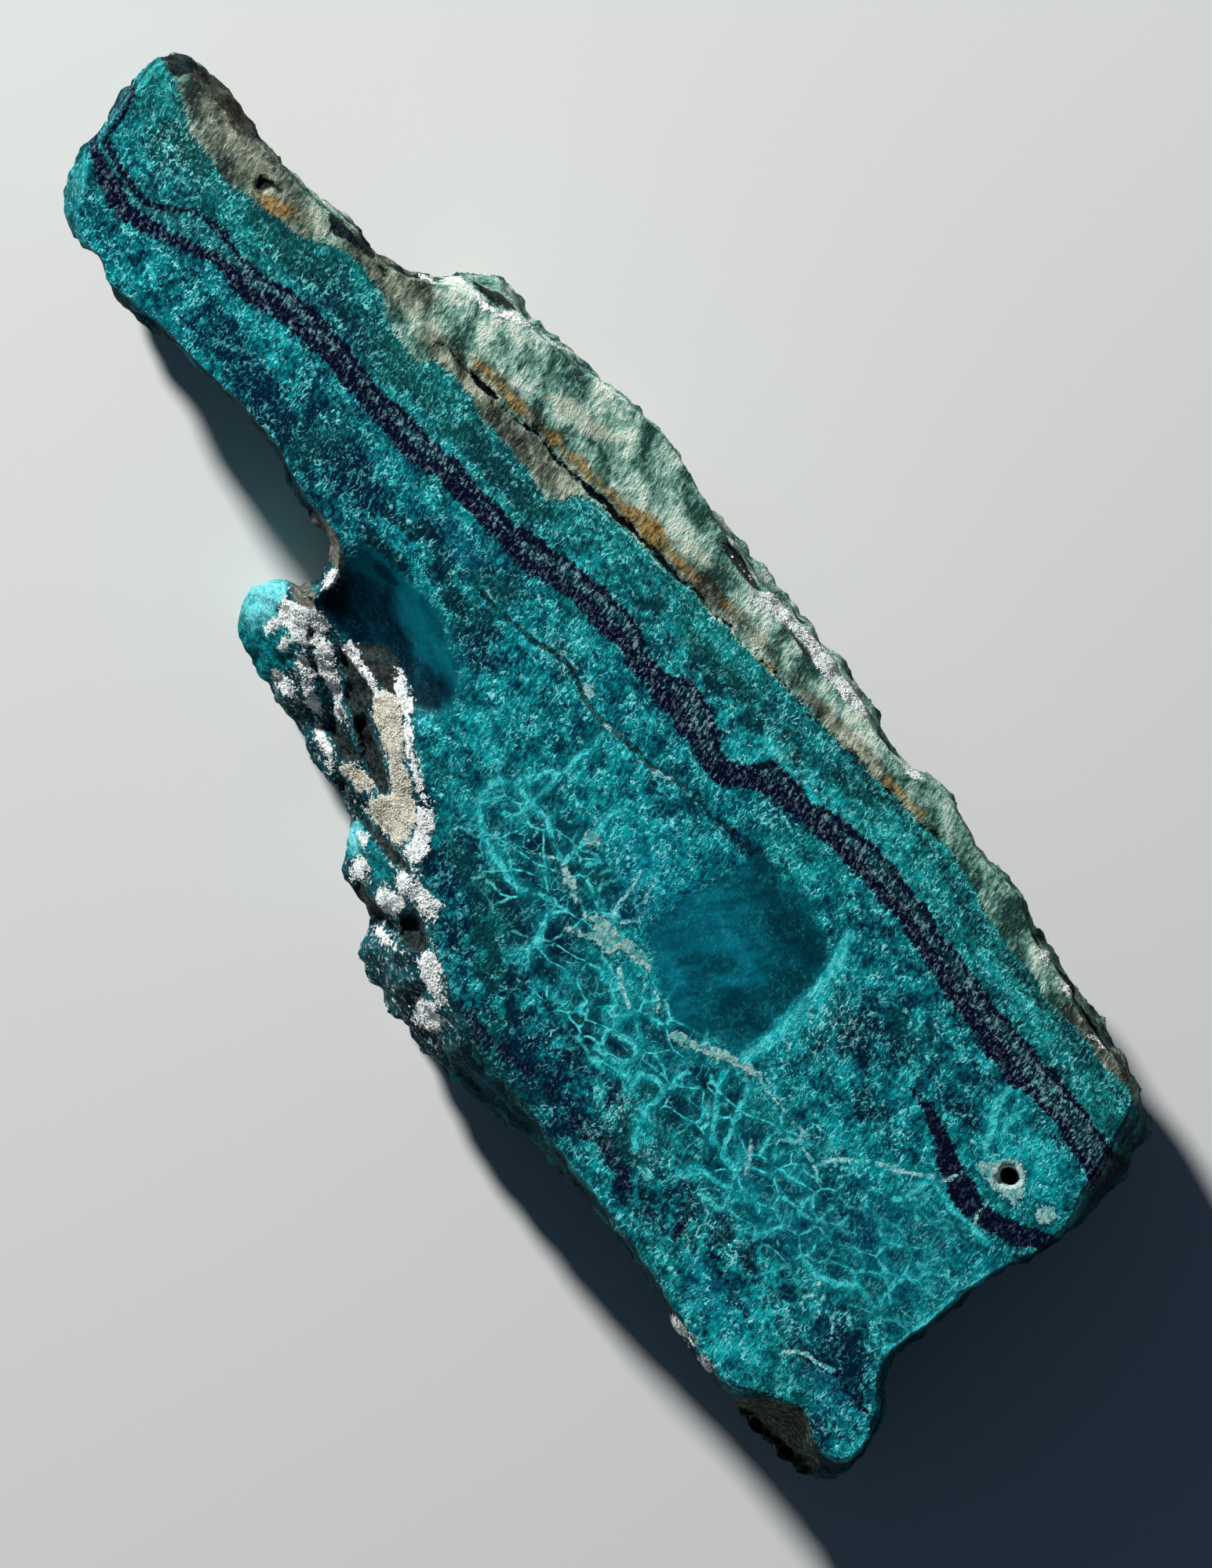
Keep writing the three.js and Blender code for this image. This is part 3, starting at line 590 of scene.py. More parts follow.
DARK_ZONES = [
    (24, -18.4, 6.4, 1.2, -4), (34.5, -17.6, 3.6, 0.6, 0), (12, -20.6, 7.5, 1.5, 0),
    (27.8, -16.6, 1.8, 1.6, 0), (14.4, -15.6, 1.5, 2.6, 20), (4, -17, 5, 2.6, 0),
    (12, -19.4, 8, 1.6, 0), (2, -13.6, 4, 1.4, 0), (44.6, -13.8, 3, 2, -20), (-46, 4, 6, 1.4, 8),
    (-34, 5, 6, 1.4, 4), (-25, 6, 6, 1, 6), (45, -14.2, 3.6, 1.8, -14), (42.6, -16, 2.6, 1.2, 0),
    (35.4, 4.4, 2.4, 0.9, 0), (27, 2.6, 3.4, 3, 0), (9.4, 3.6, 4, 0.8, 8), (6.8, -11.8, 2, 1, 0),
    (-3, -14.6, 3.4, 2.6, 0), (15.8, -13.2, 1.5, 0.9, 0), (22, -12.8, 0.9, 1.3, 0),
    (0.6, -8.4, 1.5, 0.9, 40), (4.6, -6.4, 2.4, 1.2, 0), (8.4, -5.6, 0.9, 1.8, 20),
    (-40, -4.4, 9, 1.6, -4), (-31, -3, 5, 2, 0), (-57, 2, 3, 0.8, 0), (-20, 0.4, 6, 1.2, 8),
    (38, -7, 2, 0.8, -20), (48, -18.8, 1.8, 1.2, -40), (-63.2, 0.6, 0.7, 1.6, 20),
    (11, 12.8, 3.4, 0.8, 4), (-2, 10, 5, 1.2, 6), (24.6, -8.6, 0.8, 1, 20),
    (43.6, -13, 2.8, 0.9, -10), (31, -0.6, 2.6, 1.4, 0), (-15, -3, 3, 2, 0),
]
# Most bright zones are lighter stone, but the two at the arm's tip are painted light, where its end
# faces the light.
BRIGHT_AND_LIT_ZONES = [
    (3.6, -2.6, 6, 2.4, -6), (-63.2, 3.4, 1.5, 1.8, 0), (31, -10, 3.6, 2.4, 0),
    (42.6, 6.6, 3, 2, 0), (42, -5, 4, 3.4, 0), (-60.4, -5.6, 2.8, 1, -48),
    (10.6, -10.8, 3.4, 0.9, -6), (50.7, -17, 0.7, 1.3, 0), (-5, -13.3, 1, 1.8, 40),
    (13, -7.4, 2, 0.5, -20), (32, 12.8, 8, 0.8, 0), (22.6, -0.6, 0.9, 5, 0),
    (-51.5, 1.8, 2.4, 0.8, 0), (37.4, -19.6, 5, 1.6, 0), (4.4, 8.6, 2, 1, 0),
    (-9, -6.8, 2.2, 1.6, 0), (40.5, -9.8, 4, 1.6, 0), (0.8, -11.8, 3, 0.6, 0), (10, 10.6, 2, 1, 20),
    (30.4, 7.4, 3, 0.8, 0),
]
PALE_ZONES = [
    (19.2, -16, 1.9, 1.5, 0), (24, -16, 1.6, 1.7, -30), (32, -15.2, 4, 1.2, 0),
    (30, -16.6, 1, 1.7, 0), (24.6, 0.4, 3, 3.2, 0), (-58, 1.4, 3, 1.6, 0),
    (39.4, -15.6, 2.4, 0.8, 0), (41.6, 10.7, 2.6, 0.6, 0), (20.4, -18.6, 2.6, 0.8, 10),
    (37.2, 13, 1.6, 0.8, 0), (-10, 1.4, 2.4, 1.2, 0), (6, 10.4, 3, 0.8, 0),
]
TAN_ZONES = [
    (-54, 5.4, 8.4, 2.2, 2), (-41, 8.4, 5, 1.8, 14), (-31, 8.3, 5, 1.2, 4), (-23, 8.9, 4.6, 1.3, 6),
    (-10, 12.8, 10, 0.8, 8), (8, 14.7, 6.4, 0.7, 6), (38, 15.6, 4.2, 0.7, 0),
    (-28, 10.2, 5, 0.7, 6),
]
CELL_NET = [
    (22, -10, 12, 4.2, 0), (32, -10, 10, 4.6, 0), (41, -7, 5, 5, 0), (3, -9.6, 9, 4.2, 0),
    (12, -13, 8, 3, 0),
]
BOTRYOIDAL = [
    (-25.5, -14.4, 3.6, 3.4, 0), (-21, -16, 3, 1.8, 0), (-6, -20, 4.4, 1.9, -20),
    (0.6, -22.8, 3.4, 2, 0), (-14, -17.5, 4, 1, 0),
]
# The sides of the turquoise lumps that face the light are painted lighter: painted light.
LUMP_PAINTED_LIGHTS = [(-27.4, -13.2, 2.4, 2.8, 10), (-9, -19.2, 1.6, 0.8, -36)]
print("soft patches in the teal:", len(DARK_ZONES) + len(BRIGHT_AND_LIT_ZONES) + len(PALE_ZONES))

# %% [markdown]
# A few small functions turn those lists into numbers. A line gives the signed distance from each
# point, positive on its left. An outline gives how far inside it a point lies. An ellipse gives 1
# in its middle, 0 on its edge and less outside.

# %% Distance to a line and depth in a patch
FAR = 3.0


def distance_to(points, line):
    """Signed distance in mm from each point to a polyline: positive on its left-hand side."""
    best = np.full(len(points), np.inf)
    signed = np.zeros(len(points))
    for start, end in zip(line[:-1], line[1:]):
        run = end - start
        offset = points - start
        share = np.clip(offset @ run / (run @ run), 0, 1)
        gap = offset - share[:, None] * run
        length = np.hypot(gap[:, 0], gap[:, 1])
        nearer = length < best
        side = np.sign(run[0] * offset[:, 1] - run[1] * offset[:, 0])
        best = np.where(nearer, length, best)
        signed = np.where(nearer, length * np.where(side == 0, 1, side), signed)
    return signed


def smooth_line(points, per_gap=4):
    """A named line as a smooth polyline."""
    return smooth_curve(points, closed=False, per_gap=per_gap)


def inside(points, ring):
    """True for the points that lie inside a closed ring."""
    x, y = points[:, 0], points[:, 1]
    hit = np.zeros(len(points), bool)
    for (x0, y0), (x1, y1) in zip(ring, np.roll(ring, -1, axis=0)):
        if y0 != y1:
            crosses = (y0 > y) != (y1 > y)
            hit ^= crosses & (x < (x1 - x0) * (y - y0) / (y1 - y0) + x0)
    return hit


def near(points, shape):
    """True for the points within FAR of a shape's box, which are the only ones worth measuring."""
    return ((points > shape.min(0) - FAR) & (points < shape.max(0) + FAR)).all(1)


def vein_gap(points, veins):
    """Distance to the nearest vein's edge: below 0 inside a vein and at most FAR."""
    gap = np.full(len(points), FAR)
    for half_width, line in veins:
        line = np.array(line)
        close = near(points, line)
        gap[close] = np.minimum(gap[close], np.abs(distance_to(points[close], line)) - half_width)
    return gap


def outline_depth(points, outlines):
    """How far inside the nearest outline each point lies; below 0 outside and at least -FAR."""
    depth = np.full(len(points), -FAR)
    for outline in outlines:
        ring = smooth_curve(outline, closed=True, per_gap=3)
        close = near(points, ring)
        away = np.abs(distance_to(points[close], np.vstack([ring, ring[:1]])))
        depth[close] = np.maximum(depth[close], np.where(inside(points[close], ring), away, -away))
    return depth


def along_and_across(points, x, y, turn):
    """How far points lie from x, y along a direction turned by degrees, and across it."""
    angle = math.radians(turn)
    dx, dy = points[:, 0] - x, points[:, 1] - y
    along = dx * math.cos(angle) + dy * math.sin(angle)
    across = dy * math.cos(angle) - dx * math.sin(angle)
    return along, across


def patch_depth(points, patches):
    """1 at the middle of a soft patch, 0 on its edge, down to -1 well outside."""
    depth = np.full(len(points), -1.0)
    for x, y, half_x, half_y, turn in patches:
        along, across = along_and_across(points, x, y, turn)
        depth = np.maximum(depth, 1 - np.hypot(along / half_x, across / half_y))
    return depth


def width_along(points, widths):
    """A width that changes along the slab, from rows of place and width."""
    places, values = zip(*widths)
    return np.interp(points[:, 0], places, values)


origin_gap = distance_to(np.zeros((1, 2)), smooth_line(MAIN_BAND))
print("from the drawing's origin to the main band:", np.abs(origin_gap).round(1), "mm")


# %% [markdown]
# ## The ground top
#
# The top is a flat face with a real, if shallow, relief: the smooth hollow, an open crack, a small
# hole with a quartz lip, and slight waves from grinding by hand. A grid of quads would make a
# stepped rim, so the rim is kept as it is and the inside is filled with scattered points that a
# Delaunay triangulation joins up.

# %% Wiggle, crack and pits
WIGGLE, WIGGLE_SIZE = 0.34, 2.3
PIT_EDGE = (-0.1, 0.5)
crack_line = smooth_line(CRACK)
hairline = smooth_line(HAIRLINE)


def wiggled(points):
    """The points pushed about a little, so that a smooth line read at them looks natural."""
    sideways = [fractal(points, WIGGLE_SIZE, 3, part=part) for part in (31.0, 37.0)]
    return points + WIGGLE * np.column_stack(sideways)


def crack_gap(points):
    """Distance to the open crack's edge, below 0 inside the crack."""
    return np.abs(distance_to(wiggled(points), crack_line)) - width_along(points, CRACK_WIDTHS)


def pit_drop(points):
    """Depth of the dark pits."""
    drop = np.zeros(len(points))
    for depth, outline in PITS:
        drop = np.maximum(drop, depth * smoothstep(*PIT_EDGE, outline_depth(points, [outline])))
    return drop


print("deepest pit:", max(depth for depth, _ in PITS), "mm")


# %% [markdown]
# The hollow is a bowl with a long oval plan and faint folds along its floor; HOLLOW holds its
# middle and its turn in degrees. The other parts of the relief are each a depth times a share from
# 0 to 1, and an EDGE is the pair of distances between which that share rises.

# %% Relief of the top
HOLLOW = (-20.4, -10.4, -8)
HOLLOW_HALF_LENGTH, HOLLOW_HALF_WIDTH = 9.8, 7.4
HOLLOW_DEPTH = 4.1
HOLLOW_FLOOR, HOLLOW_BRIM = 0.05, 1.0
FOLD_HEIGHT, FOLD_PITCH, FOLD_SLANT, FOLD_BEND_SIZE = 0.16, 1.5, 0.22, 3.0
HOLE_AT = (41.4, 4.4)
HOLE_DEPTH, HOLE_RADIUS = 4.5, 0.62
HOLE_SQUASH, HOLE_RAGGED = 0.85, 0.3
HOLE_INNER, HOLE_OUTER = HOLE_RADIUS - 0.22, HOLE_RADIUS + 0.12
CRACK_DEPTH, CRACK_EDGE = 0.6, (-0.12, 0.16)
HAIRLINE_DEPTH, HAIRLINE_WIDTH = 0.15, 0.14
SPOT_DEPTH, SPOT_EDGE = 0.5, (-0.1, 0.3)
WAVE_HEIGHT, WAVE_SIZE = 0.05, 9.0
GRIT_HEIGHT, GRIT_SIZE = 0.02, 0.9
GROUND_OFF = 0.06


def hollow_drop(points):
    """Depth of the smooth hollow, with a rounded brow and a rounded floor."""
    along, across = along_and_across(points, *HOLLOW)
    reach = np.hypot(along / HOLLOW_HALF_LENGTH, across / HOLLOW_HALF_WIDTH)
    bend = fractal(points, FOLD_BEND_SIZE, 2, part=2.0)
    folds = FOLD_HEIGHT * np.sin(across * FOLD_PITCH + FOLD_SLANT * along + bend)
    share = 1 - smoothstep(HOLLOW_FLOOR, HOLLOW_BRIM, reach)
    return np.maximum(0, (HOLLOW_DEPTH + folds) * share)


def hole_drop(points):
    """Depth of the small hole, whose edge is a little ragged."""
    away = np.hypot(points[:, 0] - HOLE_AT[0], (points[:, 1] - HOLE_AT[1]) * HOLE_SQUASH)
    away = away + HOLE_RAGGED * fractal(points, 1.0, 2, part=1.0)
    return HOLE_DEPTH * (1 - smoothstep(HOLE_INNER, HOLE_OUTER, away))


def top_drop(points):
    """How far each point of the top lies below the ground plane, in mm."""
    hair = np.abs(distance_to(wiggled(points), hairline))
    spots = smoothstep(*SPOT_EDGE, outline_depth(points, DARK_SPOTS + SCOOP))
    waves = WAVE_HEIGHT * fractal(points, WAVE_SIZE, 2, part=4.0)
    grit = GRIT_HEIGHT * fractal(points, GRIT_SIZE, 3, part=8.0)
    return (
        hollow_drop(points)
        + CRACK_DEPTH * (1 - smoothstep(*CRACK_EDGE, crack_gap(points)))
        + HAIRLINE_DEPTH * np.exp(-((hair / HAIRLINE_WIDTH) ** 2))
        + hole_drop(points)
        + SPOT_DEPTH * spots
        + waves + grit + GROUND_OFF
    )


print("depth at the hole, in mm:", top_drop(np.array([HOLE_AT])).round(1))

# %% [markdown]
# The points inside the rim stand on a triangular grid, each moved a little at random, so that no
# row of them shows. The triangulation is told to keep the rim's own sides.

# %% Scatter points inside the rim
TOP_STEP = 0.3
JITTER = 0.2
KEEP_INSIDE_ONLY = 1
MERGE_BELOW = 1e-7
rng = np.random.default_rng(41)


def scattered(ring, step, margin):
    """Jittered points on a triangular grid inside a ring, at least margin from it."""
    low_x, low_y = ring.min(0)
    high_x, high_y = ring.max(0)
    rows = np.arange(low_y, high_y, step * math.sqrt(3) / 2)
    columns = np.arange(low_x, high_x, step)
    grid = np.array([(x + step / 2 * (row % 2), y) for row, y in enumerate(rows) for x in columns])
    grid = grid + rng.uniform(-JITTER, JITTER, grid.shape) * step
    grid = grid[inside(grid, ring)]
    clear = np.abs(distance_to(grid, np.vstack([ring[::2], ring[:1]]))) > margin
    return grid[clear]


def fill(ring, inner):
    """Triangles that join a ring's points, which come first, and the inner points."""
    count = len(ring)
    places = [Vector(place) for place in np.vstack([ring, inner]).tolist()]
    sides = [(i, (i + 1) % count) for i in range(count)]
    found = delaunay_2d_cdt(places, sides, [], KEEP_INSIDE_ONLY, MERGE_BELOW)
    made_points, _, made_faces, made_from = found[:4]
    assert len(made_points) == len(places), "the rim crosses itself or two points coincide"
    origin = [group[0] for group in made_from]
    return np.array([[origin[i] for i in face] for face in made_faces])


top_inner = scattered(rim, TOP_STEP, margin=0.6 * TOP_STEP)
top_faces = fill(rim, top_inner)
print("top:", len(top_inner), "points,", len(top_faces), "triangles")

# %% [markdown]
# ## The broken sides
#
# Each side runs from the rim out over a rounded brow to the widest line, and then tucks in under
# the stone. Where the rim stands far back from the edge, that brow is the long slope that holds
# the quartz, so the widest line lies lower there. The profile is worked out at each ring point
# and then cut into steps that grow a little towards the base, where less is seen.

# %% Profile of the sides
WALL_STEPS = 58
STEP_GROWTH = 1.15
WIDEST_NARROW = 0.72
WIDEST_DROP = 0.05
LONGEST_SLOPE = 7
BASE_INSET = 2.8
UNDERCUT_BEND = 1.8
undercut_down = np.array([0.12, 0.25, 0.4, 0.55, 0.7, 0.85, 1.0])
undercut_share = undercut_down**UNDERCUT_BEND
brow_out = np.linspace(0, 1, 9)

slope_plan = np.linalg.norm(edge - rim, axis=1)
widest = TOP * (WIDEST_NARROW - WIDEST_DROP * np.minimum(LONGEST_SLOPE, slope_plan))
rim_height = TOP - top_drop(rim)


def side_profile(i):
    """Points down the side at ring point i: rows of x, y, z in mm."""
    brow_plan = rim[i] + (edge[i] - rim[i]) * brow_out[:, None]
    brow_z = widest[i] + (rim_height[i] - widest[i]) * np.cos(brow_out * math.pi / 2)
    under_plan = edge[i] + inward[i] * (BASE_INSET * undercut_share)[:, None]
    under_z = widest[i] * (1 - undercut_down)
    rows = np.vstack([np.column_stack([brow_plan, brow_z]), np.column_stack([under_plan, under_z])])
    run = np.concatenate([[0], np.cumsum(np.linalg.norm(np.diff(rows, axis=0), axis=1))])
    steps = run[-1] * np.linspace(0, 1, WALL_STEPS + 1) ** STEP_GROWTH
    return np.column_stack([np.interp(steps, run, rows[:, axis]) for axis in range(3)])


wall = np.array([side_profile(i) for i in range(ring_count)]).transpose(1, 0, 2)
print("side rings:", wall.shape[0], "of", wall.shape[1], "points")

# %% [markdown]
# Broken rock shows flat breaks of many sizes with rough skin on them. Ridged noise gives the
# breaks and finer noise the skin. Where the quartz sits the skin is lumpy, like sugar, and the
# turquoise lumps are botryoidal: rounded like a bunch of grapes, which is what the distance to
# scattered points gives. Every push is along the surface's own direction, and it fades to nothing
# at the rim and the base, so those two edges stay where they are.
#
# The crusts and pits are drawn in plan, so on a steep wall they would run down it as stripes. On
# the far side the place they are read at moves outwards by FADE_OUT for each millimetre of depth,
# which ends them soon below the rim.

# %% Tools for rough rock
FAR_SIDE = (6.0, 9.0)
FADE_OUT = np.array([0.08, 0.32])
TINY = 1e-9


def crust_places(places):
    """Where crusts and pits are read: on the far side they run out as the wall goes down."""
    down = TOP - places[:, 2]
    return places[:, :2] + (smoothstep(*FAR_SIDE, places[:, 1]) * down)[:, None] * FADE_OUT


def grid_directions(rings):
    """Outward unit direction at each point of a stack of rings."""
    around = np.roll(rings, -1, axis=1) - np.roll(rings, 1, axis=1)
    down = np.gradient(rings, axis=0)
    outward = np.cross(down, around)
    return outward / np.maximum(np.linalg.norm(outward, axis=2), TINY)[:, :, None]


def cell_bumps(points, size):
    """Rounded bumps, 1 at the middle of each cell and near 0 between them."""
    nearest = [noise.voronoi(place)[0][0] for place in (points / size).tolist()]
    return 1 - np.clip(np.array(nearest), 0, 1) ** 2


print("bumps at three points of the rim:", cell_bumps(wall[0, :3], 1.0).round(2))

# %% [markdown]
# A sculpt brush could do this by hand, but a sum of pushes is the same each time and each push can
# be changed alone: breaks go in, deeper low down where nothing wore them, and crusts and lumps go
# out.

# %% Roughen the sides
HELD_UNDER_RIM, HELD_OVER_BASE = 5, 3
BREAK_SIZE, BREAK_DEPTH, BREAK_DEPTH_LOW_DOWN = 7.0, 0.25, 0.95
LOW_DOWN = (0.95 * TOP, 0.5 * TOP)
SKIN_SIZE, SKIN_DEPTH = 1.5, 0.24
CRUST_EDGE, CRUST_LIFT, GRAIN_SIZE, GRAIN_LIFT = (-0.2, 0.35), 0.08, 0.6, 0.12
LUMP_EDGE, GRAPE_SIZE, GRAPE_LIFT, GRAPE_LEVEL = (-0.1, 0.4), 2.1, 0.85, 0.6
flat_wall = wall.reshape(-1, 3)
outward = grid_directions(wall).reshape(-1, 3)
level = np.repeat(np.arange(WALL_STEPS + 1), ring_count)
freedom = smoothstep(0, HELD_UNDER_RIM, level) * smoothstep(0, HELD_OVER_BASE, WALL_STEPS - level)
crust_depth = outline_depth(crust_places(flat_wall), WHITE_CRUSTS + CREAM_CRUSTS)
on_crust = smoothstep(*CRUST_EDGE, crust_depth)
on_lumps = smoothstep(*LUMP_EDGE, patch_depth(flat_wall[:, :2], BOTRYOIDAL))
breaks = np.clip(2 * np.abs(fractal(flat_wall, BREAK_SIZE, 3, part=11.0)), 0, 1)
break_depth = BREAK_DEPTH + BREAK_DEPTH_LOW_DOWN * smoothstep(*LOW_DOWN, flat_wall[:, 2])
push = (
    SKIN_DEPTH * fractal(flat_wall, SKIN_SIZE, 4, part=12.0)
    - break_depth * breaks * (1 - on_lumps)
    + on_crust * (CRUST_LIFT + GRAIN_LIFT * cell_bumps(flat_wall, GRAIN_SIZE))
    + on_lumps * GRAPE_LIFT * (cell_bumps(flat_wall, GRAPE_SIZE) - GRAPE_LEVEL)
)
flat_wall = flat_wall + outward * (push * freedom)[:, None]
print("side relief from", push.min().round(2), "to", push.max().round(2), "mm")

# %% [markdown]
# The pits and the scoop are pressed straight down instead, as they are on the top, and only into
# the upper part of the wall.

# %% Sink the pits and the scoop
UPPER_WALL = (0.25 * TOP, 0.45 * TOP)
SCOOP_DEPTH, SCOOP_EDGE = 2.6, (0.0, 1.6)
scooped = SCOOP_DEPTH * smoothstep(*SCOOP_EDGE, outline_depth(flat_wall[:, :2], SCOOP))
sunk = pit_drop(crust_places(flat_wall)) + scooped
flat_wall[:, 2] -= smoothstep(*UPPER_WALL, flat_wall[:, 2]) * sunk
wall = flat_wall.reshape(wall.shape)
print("deepest pit or scoop in the sides:", sunk.max().round(1), "mm")

# %% [markdown]
# ## The sawn base
#
# The underside is sawn flat, so that the stone lies steady. Its ring is the last ring of the
# sides, filled in the same way with fewer points, because nothing on it stands up.

# %% Fill the base
BASE_STEP = 1.1
wall[-1, :, 2] = 0
base_ring = wall[-1, :, :2]
base_inner = scattered(base_ring, BASE_STEP, margin=0.5 * BASE_STEP)
base_faces = fill(base_ring, base_inner)
print("base:", len(base_inner), "points,", len(base_faces), "triangles")

# %% [markdown]
# The three parts are joined into one closed mesh. The top's rim is the first ring of the sides and
# the base's outline the last, so no vertex is doubled and nothing gapes.

# %% Number the stone's points
top_points = np.column_stack([top_inner, TOP - top_drop(top_inner) - pit_drop(top_inner)])
base_points = np.column_stack([base_inner, np.zeros(len(base_inner))])
wall[0, :, 2] = rim_height - pit_drop(rim)
wall_count = (WALL_STEPS + 1) * ring_count
points = np.vstack([wall.reshape(-1, 3), top_points, base_points])

top_index = np.concatenate([np.arange(ring_count), wall_count + np.arange(len(top_inner))])
base_start = wall_count + len(top_inner)
base_index = np.concatenate([
    WALL_STEPS * ring_count + np.arange(ring_count), base_start + np.arange(len(base_inner))
])
print("points:", len(points))

# %% [markdown]
# Quads join each ring of the sides to the next. The triangles of the top and the base come back
# in either order, so those that face the wrong way are turned over.

# %% Join them with faces
here = np.arange(ring_count)
there = (here + 1) % ring_count
upper = np.arange(WALL_STEPS)[:, None] * ring_count
lower = upper + ring_count
side_faces = np.stack([upper + here, lower + here, lower + there, upper + there], 2).reshape(-1, 4)


def facing(triangles, up):
    """The triangles with their corners in the order that makes them face up or down."""
    a, b, c = (points[triangles[:, k], :2] for k in range(3))
    turn = (b[:, 0] - a[:, 0]) * (c[:, 1] - a[:, 1]) - (b[:, 1] - a[:, 1]) * (c[:, 0] - a[:, 0])
    wrong = (turn > 0) != up
    triangles = triangles.copy()
    triangles[wrong] = triangles[wrong][:, ::-1]
    return triangles


top_tris = facing(top_index[top_faces], up=True)
base_tris = facing(base_index[base_faces], up=False)
stone_faces = [*side_faces.tolist(), *top_tris.tolist(), *base_tris.tolist()]
print("faces:", len(stone_faces))

# %% [markdown]
# Blender works in metres, and the drawing in millimetres about its own origin. Two short functions
# make the objects, and the first of them is used for the light and the camera too.

# %% Make the stone's object


def add_object(name, data):
    """A new object that shows this data, linked into the scene."""
    made = bpy.data.objects.new(name, data)
    bpy.context.scene.collection.objects.link(made)
    return made


def add_mesh(name, mm_points, faces):
    """A mesh object from the drawing's points and faces."""
    placed = np.column_stack([mm_points[:, :2] + shift, mm_points[:, 2] + low.z / MM]) * MM
    mesh = bpy.data.meshes.new(name)
    mesh.from_pydata(placed.tolist(), [], faces)
    return add_object(name, mesh)


stone = add_mesh("chrysocolla_stone", points, stone_faces)
stone_mesh = stone.data
assert not stone_mesh.validate(), "the stone's mesh had stray faces"
stone_mesh.polygons.foreach_set("use_smooth", [True] * len(stone_faces))
print("stone:", 2 * len(side_faces) + len(top_tris) + len(base_tris), "triangles")

# %% [markdown]
# The rim and the base outline are true corners, so their edges are marked sharp. Without that
# mark the shading would flow round them and the ground face would look puffy.

# %% Mark the sharp edges
NO_RING, RIM_RING, BASE_RING = -1, 0, 1
ring_of = np.full(len(points), NO_RING)
ring_of[:ring_count] = RIM_RING
ring_of[WALL_STEPS * ring_count:wall_count] = BASE_RING
pairs = np.zeros(len(stone_mesh.edges) * 2, int)
stone_mesh.edges.foreach_get("vertices", pairs)
pairs = pairs.reshape(-1, 2)
neighbours = np.isin(np.abs(pairs[:, 0] - pairs[:, 1]), (1, ring_count - 1))
first_ring, second_ring = ring_of[pairs[:, 0]], ring_of[pairs[:, 1]]
sharp = (first_ring == second_ring) & (first_ring != NO_RING) & neighbours
sharp_mark = stone_mesh.attributes.new("sharp_edge", "BOOLEAN", "EDGE")
sharp_mark.data.foreach_set("value", sharp)
print("sharp edges:", int(sharp.sum()))

# %% [markdown]
# ## A map for the finish
#
# A map says where each face lands in a flat picture. The top matters most, so it gets the widest
# strip, along the lower edge. The base has the next one, and the sides are unrolled into two long
# strips above that. Each strip is given as its lower edge and its height, and a narrow gutter
# keeps the strips apart.

# %% Lay out the map
TOP_STRIP = (0.0, 0.37)
BASE_STRIP = (0.38, 0.30)
SIDE_STRIPS = ((0.69, 0.15), (0.845, 0.15))
GUTTER = 0.004
plan_low, plan_size = edge.min(0), edge.max(0) - edge.min(0)


def strip_map(across, up, strip):
    """Places 0..1 coordinates in a strip: its lower edge and its height."""
    start, height = strip
    return np.column_stack([
        GUTTER + across * (1 - 2 * GUTTER), start + GUTTER + up * (height - 2 * GUTTER)
    ])


def plan_map(corners, strip, mirror=False):
    """Plan coordinates of some corners in a strip."""
    share = np.clip((points[corners, :2] - plan_low) / plan_size, 0, 1)
    across = 1 - share[:, 0] if mirror else share[:, 0]
    return strip_map(across, share[:, 1], strip)


print("share of the map's height for the top:", TOP_STRIP[1])

# %% [markdown]
# Every corner of every face has a place on the map of its own. So a quad that lies where the strips
# begin can end at 1 while its neighbour starts at 0.

# %% Fill in the map
half_ring = ring_count // 2
quad_column = np.tile(here, WALL_STEPS)
quad_level = np.repeat(np.arange(WALL_STEPS), ring_count)
corner_column = quad_column[:, None] + np.array([0, 0, 1, 1])
corner_level = quad_level[:, None] + np.array([0, 1, 1, 0])
second = (quad_column >= half_ring)[:, None]
second_across = (corner_column - half_ring) / (ring_count - half_ring)
across = np.where(second, second_across, corner_column / half_ring)
up = 1 - corner_level / WALL_STEPS
first_map = strip_map(across.ravel(), up.ravel(), SIDE_STRIPS[0])
second_map = strip_map(across.ravel(), up.ravel(), SIDE_STRIPS[1])
side_map = np.where(np.repeat(second.ravel(), 4)[:, None], second_map, first_map)
corner_map = np.vstack([
    side_map,
    plan_map(top_tris.ravel(), TOP_STRIP),
    plan_map(base_tris.ravel(), BASE_STRIP, mirror=True),
])
finish_map = stone_mesh.uv_layers.new(name="OFBake")
finish_map.data.foreach_set("uv", corner_map.ravel())
print("map corners:", len(corner_map))

# %% [markdown]
# ## Numbers for the shader
#
# The lines and patches are now measured at each vertex and stored under plain names. On the sides
# and base the layers are read a little off to one side, further the deeper they lie, because the
# real layers dip through the rock and so meet the sawn base in a slightly different place. DIP is
# that shift for each millimetre of depth, and it starts DIP_FROM millimetres down.

# %% Where each layer is read
DIP = np.array([0.10, -0.16])
DIP_FROM, FAR_SIDE_DIP = 7.0, 0.85
DIP_WAVE, DIP_WAVE_SIZE = 0.09, 9.0
CRUST_WAVE, CRUST_WAVE_SIZE = 0.3, 2.0
SLOPE_FROM_RUN = (1.4, 3.0)
SLOPE_ENDS = (10, 7)
plan = points[:, :2]
far_side = smoothstep(*FAR_SIDE, plan[:, 1])
under = np.maximum(0, TOP - points[:, 2] - DIP_FROM * (1 - FAR_SIDE_DIP * far_side))
dipped = plan + under[:, None] * DIP
dipped = dipped + (DIP_WAVE * under * fractal(points, DIP_WAVE_SIZE, 2, part=21.0))[:, None]
wavy = wiggled(dipped)
crust_plan = crust_places(points)
crust_wave = CRUST_WAVE * fractal(points, CRUST_WAVE_SIZE, 3, part=23.0)[:, None]
